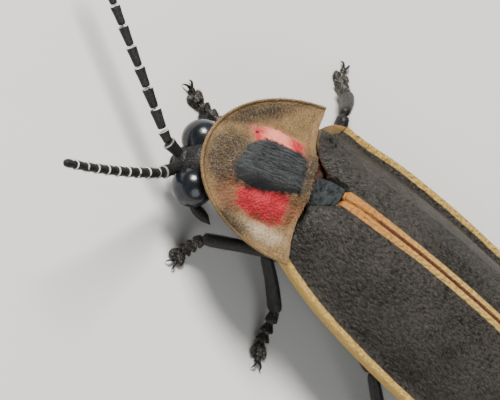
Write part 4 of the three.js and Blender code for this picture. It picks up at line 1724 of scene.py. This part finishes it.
LEFT_PALP = (HEAD.out((0.16, -0.14, -0.52)), (1.38, -2.38, 0.62), (1.54, -1.95, 0.8), (1.66, -1.6, 0.9))
RIGHT_PALP = HEAD.out(((-0.16, -0.14, -0.52), (-0.42, 0.12, -0.72), (-0.6, 0.4, -0.76), (-0.72, 0.7, -0.7)))
JAW = ((0.12, -0.16, -0.5), (0.17, -0.25, -0.68), (0.03, -0.22, -0.8))


@dataclass
class Head:
    """The head under the shield: two large eyes, the face between them, jaws and palps."""

    eye_radius: float = 0.455
    eye_shape: Point = (1, 1.04, 1.04)
    capsule: Point = (0.6, 0.46, 0.5)
    tooth: Profile = Profile((0, 0.07), (0.6, 0.05), (1, 0.02))
    palp: Profile = Profile((0, 0.07), (0.2, 0.1), (0.235, 0.06), (0.45, 0.11), (0.485, 0.06), (0.68, 0.13),
                            (0.85, 0.11), (1, 0.015))

    def build(self, shop: Workshop) -> None:
        """Makes the head's pieces and hairs.

        Args:
            shop: the shared materials.
        """
        self.build_face(shop)
        for side in Side:
            self.build_eye(side, shop)
            self.build_jaw(side, shop)
        horn = shop.finish(BLACK_HORN)
        for side, points in ((Side.LEFT, LEFT_PALP), (Side.RIGHT, RIGHT_PALP)):
            skin = tube(points, self.palp, 1.0, 80, 16)
            Body(skin).make(f"palp_{side.word}_skin", horn, Slot.BLACK, [f"palp_{side.word}"])

    def build_face(self, shop: Workshop) -> None:
        """Makes the capsule, the snout and the lip, and their hairs.

        Args:
            shop: the shared materials.
        """
        face = [
            ball((0, 0.08, 0), self.capsule),
            ball((0, -0.2, -0.16), (0.36, 0.3, 0.3)),
            ball((0, -0.2, -0.42), (0.3, 0.22, 0.24)),
            ball((0, -0.38, -0.42), (0.17, 0.07, 0.1)),
        ]
        Body(*face).make("head_capsule", shop.finish(BLACK_HORN), Slot.BLACK, ["head"])
        down = shop.coat("head_hair", DARK_HAIR, Slot.BLACK)
        for skin, count in zip(face, (700, 500, 300, 120)):
            down.grow(skin.scatter(count, shop.rng), FACE_DOWN, shop.rng)
        down.make()

    def build_eye(self, side: Side, shop: Workshop) -> None:
        """Makes an eye.

        Args:
            side: the side it is on.
            shop: the shared materials.
        """
        eye = ball((side.value * EYE_SPACING, 0, 0), self.eye_radius * np.array(self.eye_shape), 72, 96)
        Body(eye).make(f"eye_ball_{side.word}", shop.finish(EyeFinish()), Slot.EYE, [f"eye_{side.word}"])

    def build_jaw(self, side: Side, shop: Workshop) -> None:
        """Makes a jaw, which curves out and back in to its tip.

        Args:
            side: the side it is on.
            shop: the shared materials.
        """
        line = HEAD.out(np.array(JAW) * np.array([side.value, 1, 1]))
        skin = tube(line, self.tooth, 1.1, 30, 14)
        Body(skin).make(f"jaw_{side.word}", shop.finish(BLACK_HORN), Slot.BLACK, [f"mandible_{side.word}"])


# Trunk


def trunk_rings(y: Array, half: Array, bottom: Array, top: Array, sides: int = 96) -> Array:
    """Cross-sections with a flat-arched back and a rounder belly.

    Args:
        y: where each stands.
        half: half the width of each.
        bottom: the height of its lowest point.
        top: the height of its highest point.
        sides: points round a ring.

    Returns:
        rings x sides x 3 points.
    """
    angle = 2 * np.pi * np.arange(sides) / sides
    c, d = np.cos(angle)[None], np.sin(angle)[None]
    half, bottom, top = half[:, None], bottom[:, None], top[:, None]
    middle = bottom + (top - bottom) * 0.56
    x = half * np.sign(c) * np.abs(c) ** 0.75
    up = middle + (top - middle) * np.abs(d) ** 0.9
    down = middle - (middle - bottom) * np.abs(d) ** 0.8
    return np.stack([x, np.broadcast_to(y[:, None], x.shape), np.where(d > 0, up, down)], axis=-1)


@dataclass
class Trunk:
    """Thorax and belly under the shield and the wing covers."""

    cover: WingCover
    belly_half: Profile = Profile((2, 1.52), (3.5, 1.66), (5, 1.66), (6.5, 1.5), (7.6, 1.15), (8.3, 0.72),
                                  (8.8, 0.3))
    thorax_half: Profile = Profile((-0.95, 0.6), (-0.55, 0.68), (-0.35, 0.98), (0, 1.18), (1, 1.42),
                                   (2.02, 1.5))
    front_half: Profile = Profile((-2.0, 0.5), (-1.75, 0.72), (-1.2, 0.86), (-0.6, 0.88), (-0.1, 0.8))
    front_bottom: Profile = Profile((-2.0, -1.2), (-1.75, -1.38), (-1.2, -1.5), (-0.6, -1.56), (-0.1, -1.5))
    front_top: Profile = Profile((-2.0, -0.64), (-1.75, -0.6), (-1.2, -0.55), (-0.6, -0.76), (-0.1, -0.92))
    sternite: float = 0.93
    wing_depth: float = 0.53
    belly_bottom: float = 1.12
    belly_top: float = 2.36
    core_bottom: float = 1.2
    core_top: float = 2.0
    hair_below: float = 1.9
    stray_hair: float = 1e-6

    def under_wing(self, y: Array) -> Array:
        """The height just under the wing covers."""
        return self.cover.suture(y) - self.wing_depth

    def rise(self, y: Array) -> Array:
        """How far the underside rises towards the belly's tip."""
        return 0.35 * smooth(6.3, 8.9, y)

    def fall(self, y: Array) -> Array:
        """How far the back falls towards the belly's tip."""
        return 0.25 * smooth(7, 8.8, y)

    def belly(self, start: float, end: float, rows: int) -> Skin:
        """One length of the belly, with a step at each sternite's hind edge.

        Args:
            start: its front.
            end: its back.
            rows: rings along it.

        Returns:
            The surface.
        """
        y = np.linspace(start, end, rows)
        count = max(1, round((end - start) / self.sternite))
        phase = np.mod((y - start) / (end - start) * count, 1.0)
        phase[-1] = 0.99
        step = 0.7 * smooth(0, 0.55, phase) + 0.3 * smooth(0.5, 0.9, phase)
        step = step * (1 - smooth(0.955, 0.99, phase))
        half = self.belly_half(y) * (1 + step * 0.02)
        bottom = self.belly_bottom + self.rise(y) - step * 0.045
        top = np.minimum(self.belly_top, self.under_wing(y)) - self.fall(y)
        return Skin(trunk_rings(y, half, bottom, top))

    def core(self) -> Skin:
        """The soft skin that shows in the narrow joints of the belly.

        Returns:
            The surface.
        """
        y = np.linspace(1.9, 8.2, 60)
        top = np.minimum(self.core_top, self.under_wing(y) - 0.1) - self.fall(y)
        return Skin(trunk_rings(y, self.belly_half(y) * 0.95, self.core_bottom + self.rise(y), top))

    def thorax(self) -> Skin:
        """The thorax, which narrows and bends to the left in front.

        Returns:
            The surface.
        """
        y = np.linspace(-0.95, 2.02, 60)
        fade = 1 - smooth(-0.6, 0, y)
        top = np.minimum(2.06, self.under_wing(y)) - 0.25 * fade
        rings = trunk_rings(y, self.thorax_half(y), 1.08 + 0.25 * fade, top)
        rings[..., 0] += 0.1 * (1 - smooth(-0.9, 0, y))[:, None]
        return Skin(rings)

    def front_thorax(self) -> Skin:
        """The front of the thorax, which turns with the shield over it.

        Returns:
            The surface.
        """
        y = np.linspace(-1.86, -0.1, 40)
        rings = trunk_rings(y, self.front_half(y), self.front_bottom(y), self.front_top(y))
        return Skin(SHIELD.out(rings))

    def build(self, shop: Workshop) -> None:
        """Makes the trunk's pieces and hairs.

        Args:
            shop: the shared materials.
        """
        horn, wax = shop.finish(BELLY_HORN), shop.finish(PALE_HORN)
        pieces = (
            ("thorax_wall", self.thorax(), horn, Slot.BELLY, "thorax", 900),
            ("front_thorax", self.front_thorax(), horn, Slot.BELLY, "prothorax", 700),
            ("belly_plates", self.belly(2.1, 5.77, 130), horn, Slot.BELLY, "abdomen", 1800),
            ("lantern_plates", self.belly(5.85, 7.67, 70), wax, Slot.PALE, "lantern", 500),
            ("belly_tip", self.belly(7.75, 8.75, 40), horn, Slot.BELLY, "abdomen_tip", 300),
        )
        Body(self.core()).make("belly_core", horn, Slot.BELLY)
        down = shop.coat("belly_hair", GOLD_HAIR, Slot.BELLY)
        for name, skin, finish, slot, node, count in pieces:
            Body(skin).make(name, finish, slot, [node])
            weight = (skin.rings[..., 2] < self.hair_below).astype(float) + self.stray_hair
            down.grow(skin.scatter(count, shop.rng, weight), BELLY_DOWN, shop.rng)
        down.make()


# Studio


@dataclass(frozen=True)
class Lamp:
    """A soft round lamp that looks at the animal, placed and sized in metres, with its power in watts."""

    name: str
    place: Point
    size: float
    power: float
    colour: Colour
    target: Point = (0, 0, 0.002)

    def build(self) -> None:
        """Makes the lamp."""
        data = bpy.data.lights.new(self.name, "AREA")
        data.shape, data.size, data.energy, data.color = "DISK", self.size, self.power, self.colour
        lamp = bpy.data.objects.new(self.name, data)
        lamp.location = self.place
        lamp.rotation_euler = (Vector(self.target) - Vector(self.place)).to_track_quat("-Z", "Y").to_euler()
        bpy.context.scene.collection.objects.link(lamp)


@dataclass
class Studio:
    """The floor, the lamps, the sky and the camera.

    The camera's eye, aim, lens and sensor are in millimetres. Its near and far limits and half the floor's
    width are in metres.
    """

    eye: Point = (58.6, -35.0, 89.8)
    aim: Point = (1.706, -1.834, 2.8)
    up: Point = (-0.722, -0.648, 0.241)
    lens: float = 359.9
    sensor: float = 36.0
    near: float = 0.005
    far: float = 20.0
    floor: float = 0.6
    sky: Colour = (0.9, 0.93, 0.96)
    sky_strength: float = 0.25
    # A broad lamp above the picture's upper left, and a weaker one opposite
    lamps: tuple[Lamp, ...] = (
        Lamp("key_lamp", (-0.07, -0.16, 0.2), 0.09, 1.75, (1.0, 0.98, 0.95)),
        Lamp("fill_lamp", (0.2, 0.1, 0.16), 0.22, 0.35, (0.94, 0.97, 1.0)),
    )

    def build(self) -> None:
        """Sets up the stage."""
        self.build_floor()
        for lamp in self.lamps:
            lamp.build()
        self.build_sky()
        self.build_camera()

    def build_floor(self) -> None:
        """Lays a plain pale floor."""
        finish = FloorFinish().make()
        mesh = bpy.data.meshes.new("studio_floor")
        s = self.floor
        mesh.from_pydata([(-s, -s, 0), (s, -s, 0), (s, s, 0), (-s, s, 0)], [], [(0, 1, 2, 3)])
        mesh.materials.append(finish)
        floor = bpy.data.objects.new("studio_floor", mesh)
        bpy.context.scene.collection.objects.link(floor)

    def build_sky(self) -> None:
        """Gives the world a pale, weak sky."""
        world = bpy.data.worlds.new("studio_sky")
        world.use_nodes = True
        sky = world.node_tree.nodes["Background"]
        sky.inputs["Color"].default_value = (*self.sky, 1)
        sky.inputs["Strength"].default_value = self.sky_strength
        bpy.context.scene.world = world

    def build_camera(self) -> None:
        """Sets the camera at the photo's angle."""
        data = bpy.data.cameras.new("camera")
        data.lens, data.sensor_width, data.sensor_fit = self.lens, self.sensor, "HORIZONTAL"
        data.clip_start, data.clip_end = self.near, self.far
        camera = bpy.data.objects.new("camera", data)
        bpy.context.scene.collection.objects.link(camera)
        eye = Vector((np.array(self.eye) + ORIGIN) * MM)
        aim = Vector((np.array(self.aim) + ORIGIN) * MM)
        back = (eye - aim).normalized()
        right = Vector(self.up).cross(back).normalized()
        upright = back.cross(right)
        turn = Matrix((right, upright, back)).transposed()
        camera.matrix_world = Matrix.Translation(eye) @ turn.to_4x4()
        bpy.context.scene.camera = camera


def main() -> None:
    """Builds the animal piece by piece."""
    logging.basicConfig(level=logging.INFO, format="%(name)s: %(message)s")
    shop = Workshop()
    Studio().build()
    shield, wedge = Shield(), Scutellum()
    shield.build(shop)
    for side in Side:
        WingCover(side).build(shop, shield, wedge)
    wedge.build(shop)
    Head().build(shop)
    Trunk(WingCover(Side.LEFT)).build(shop)
    for limb in (*FEELERS, *LEGS):
        limb.build(shop)


if __name__ == "__main__":
    main()
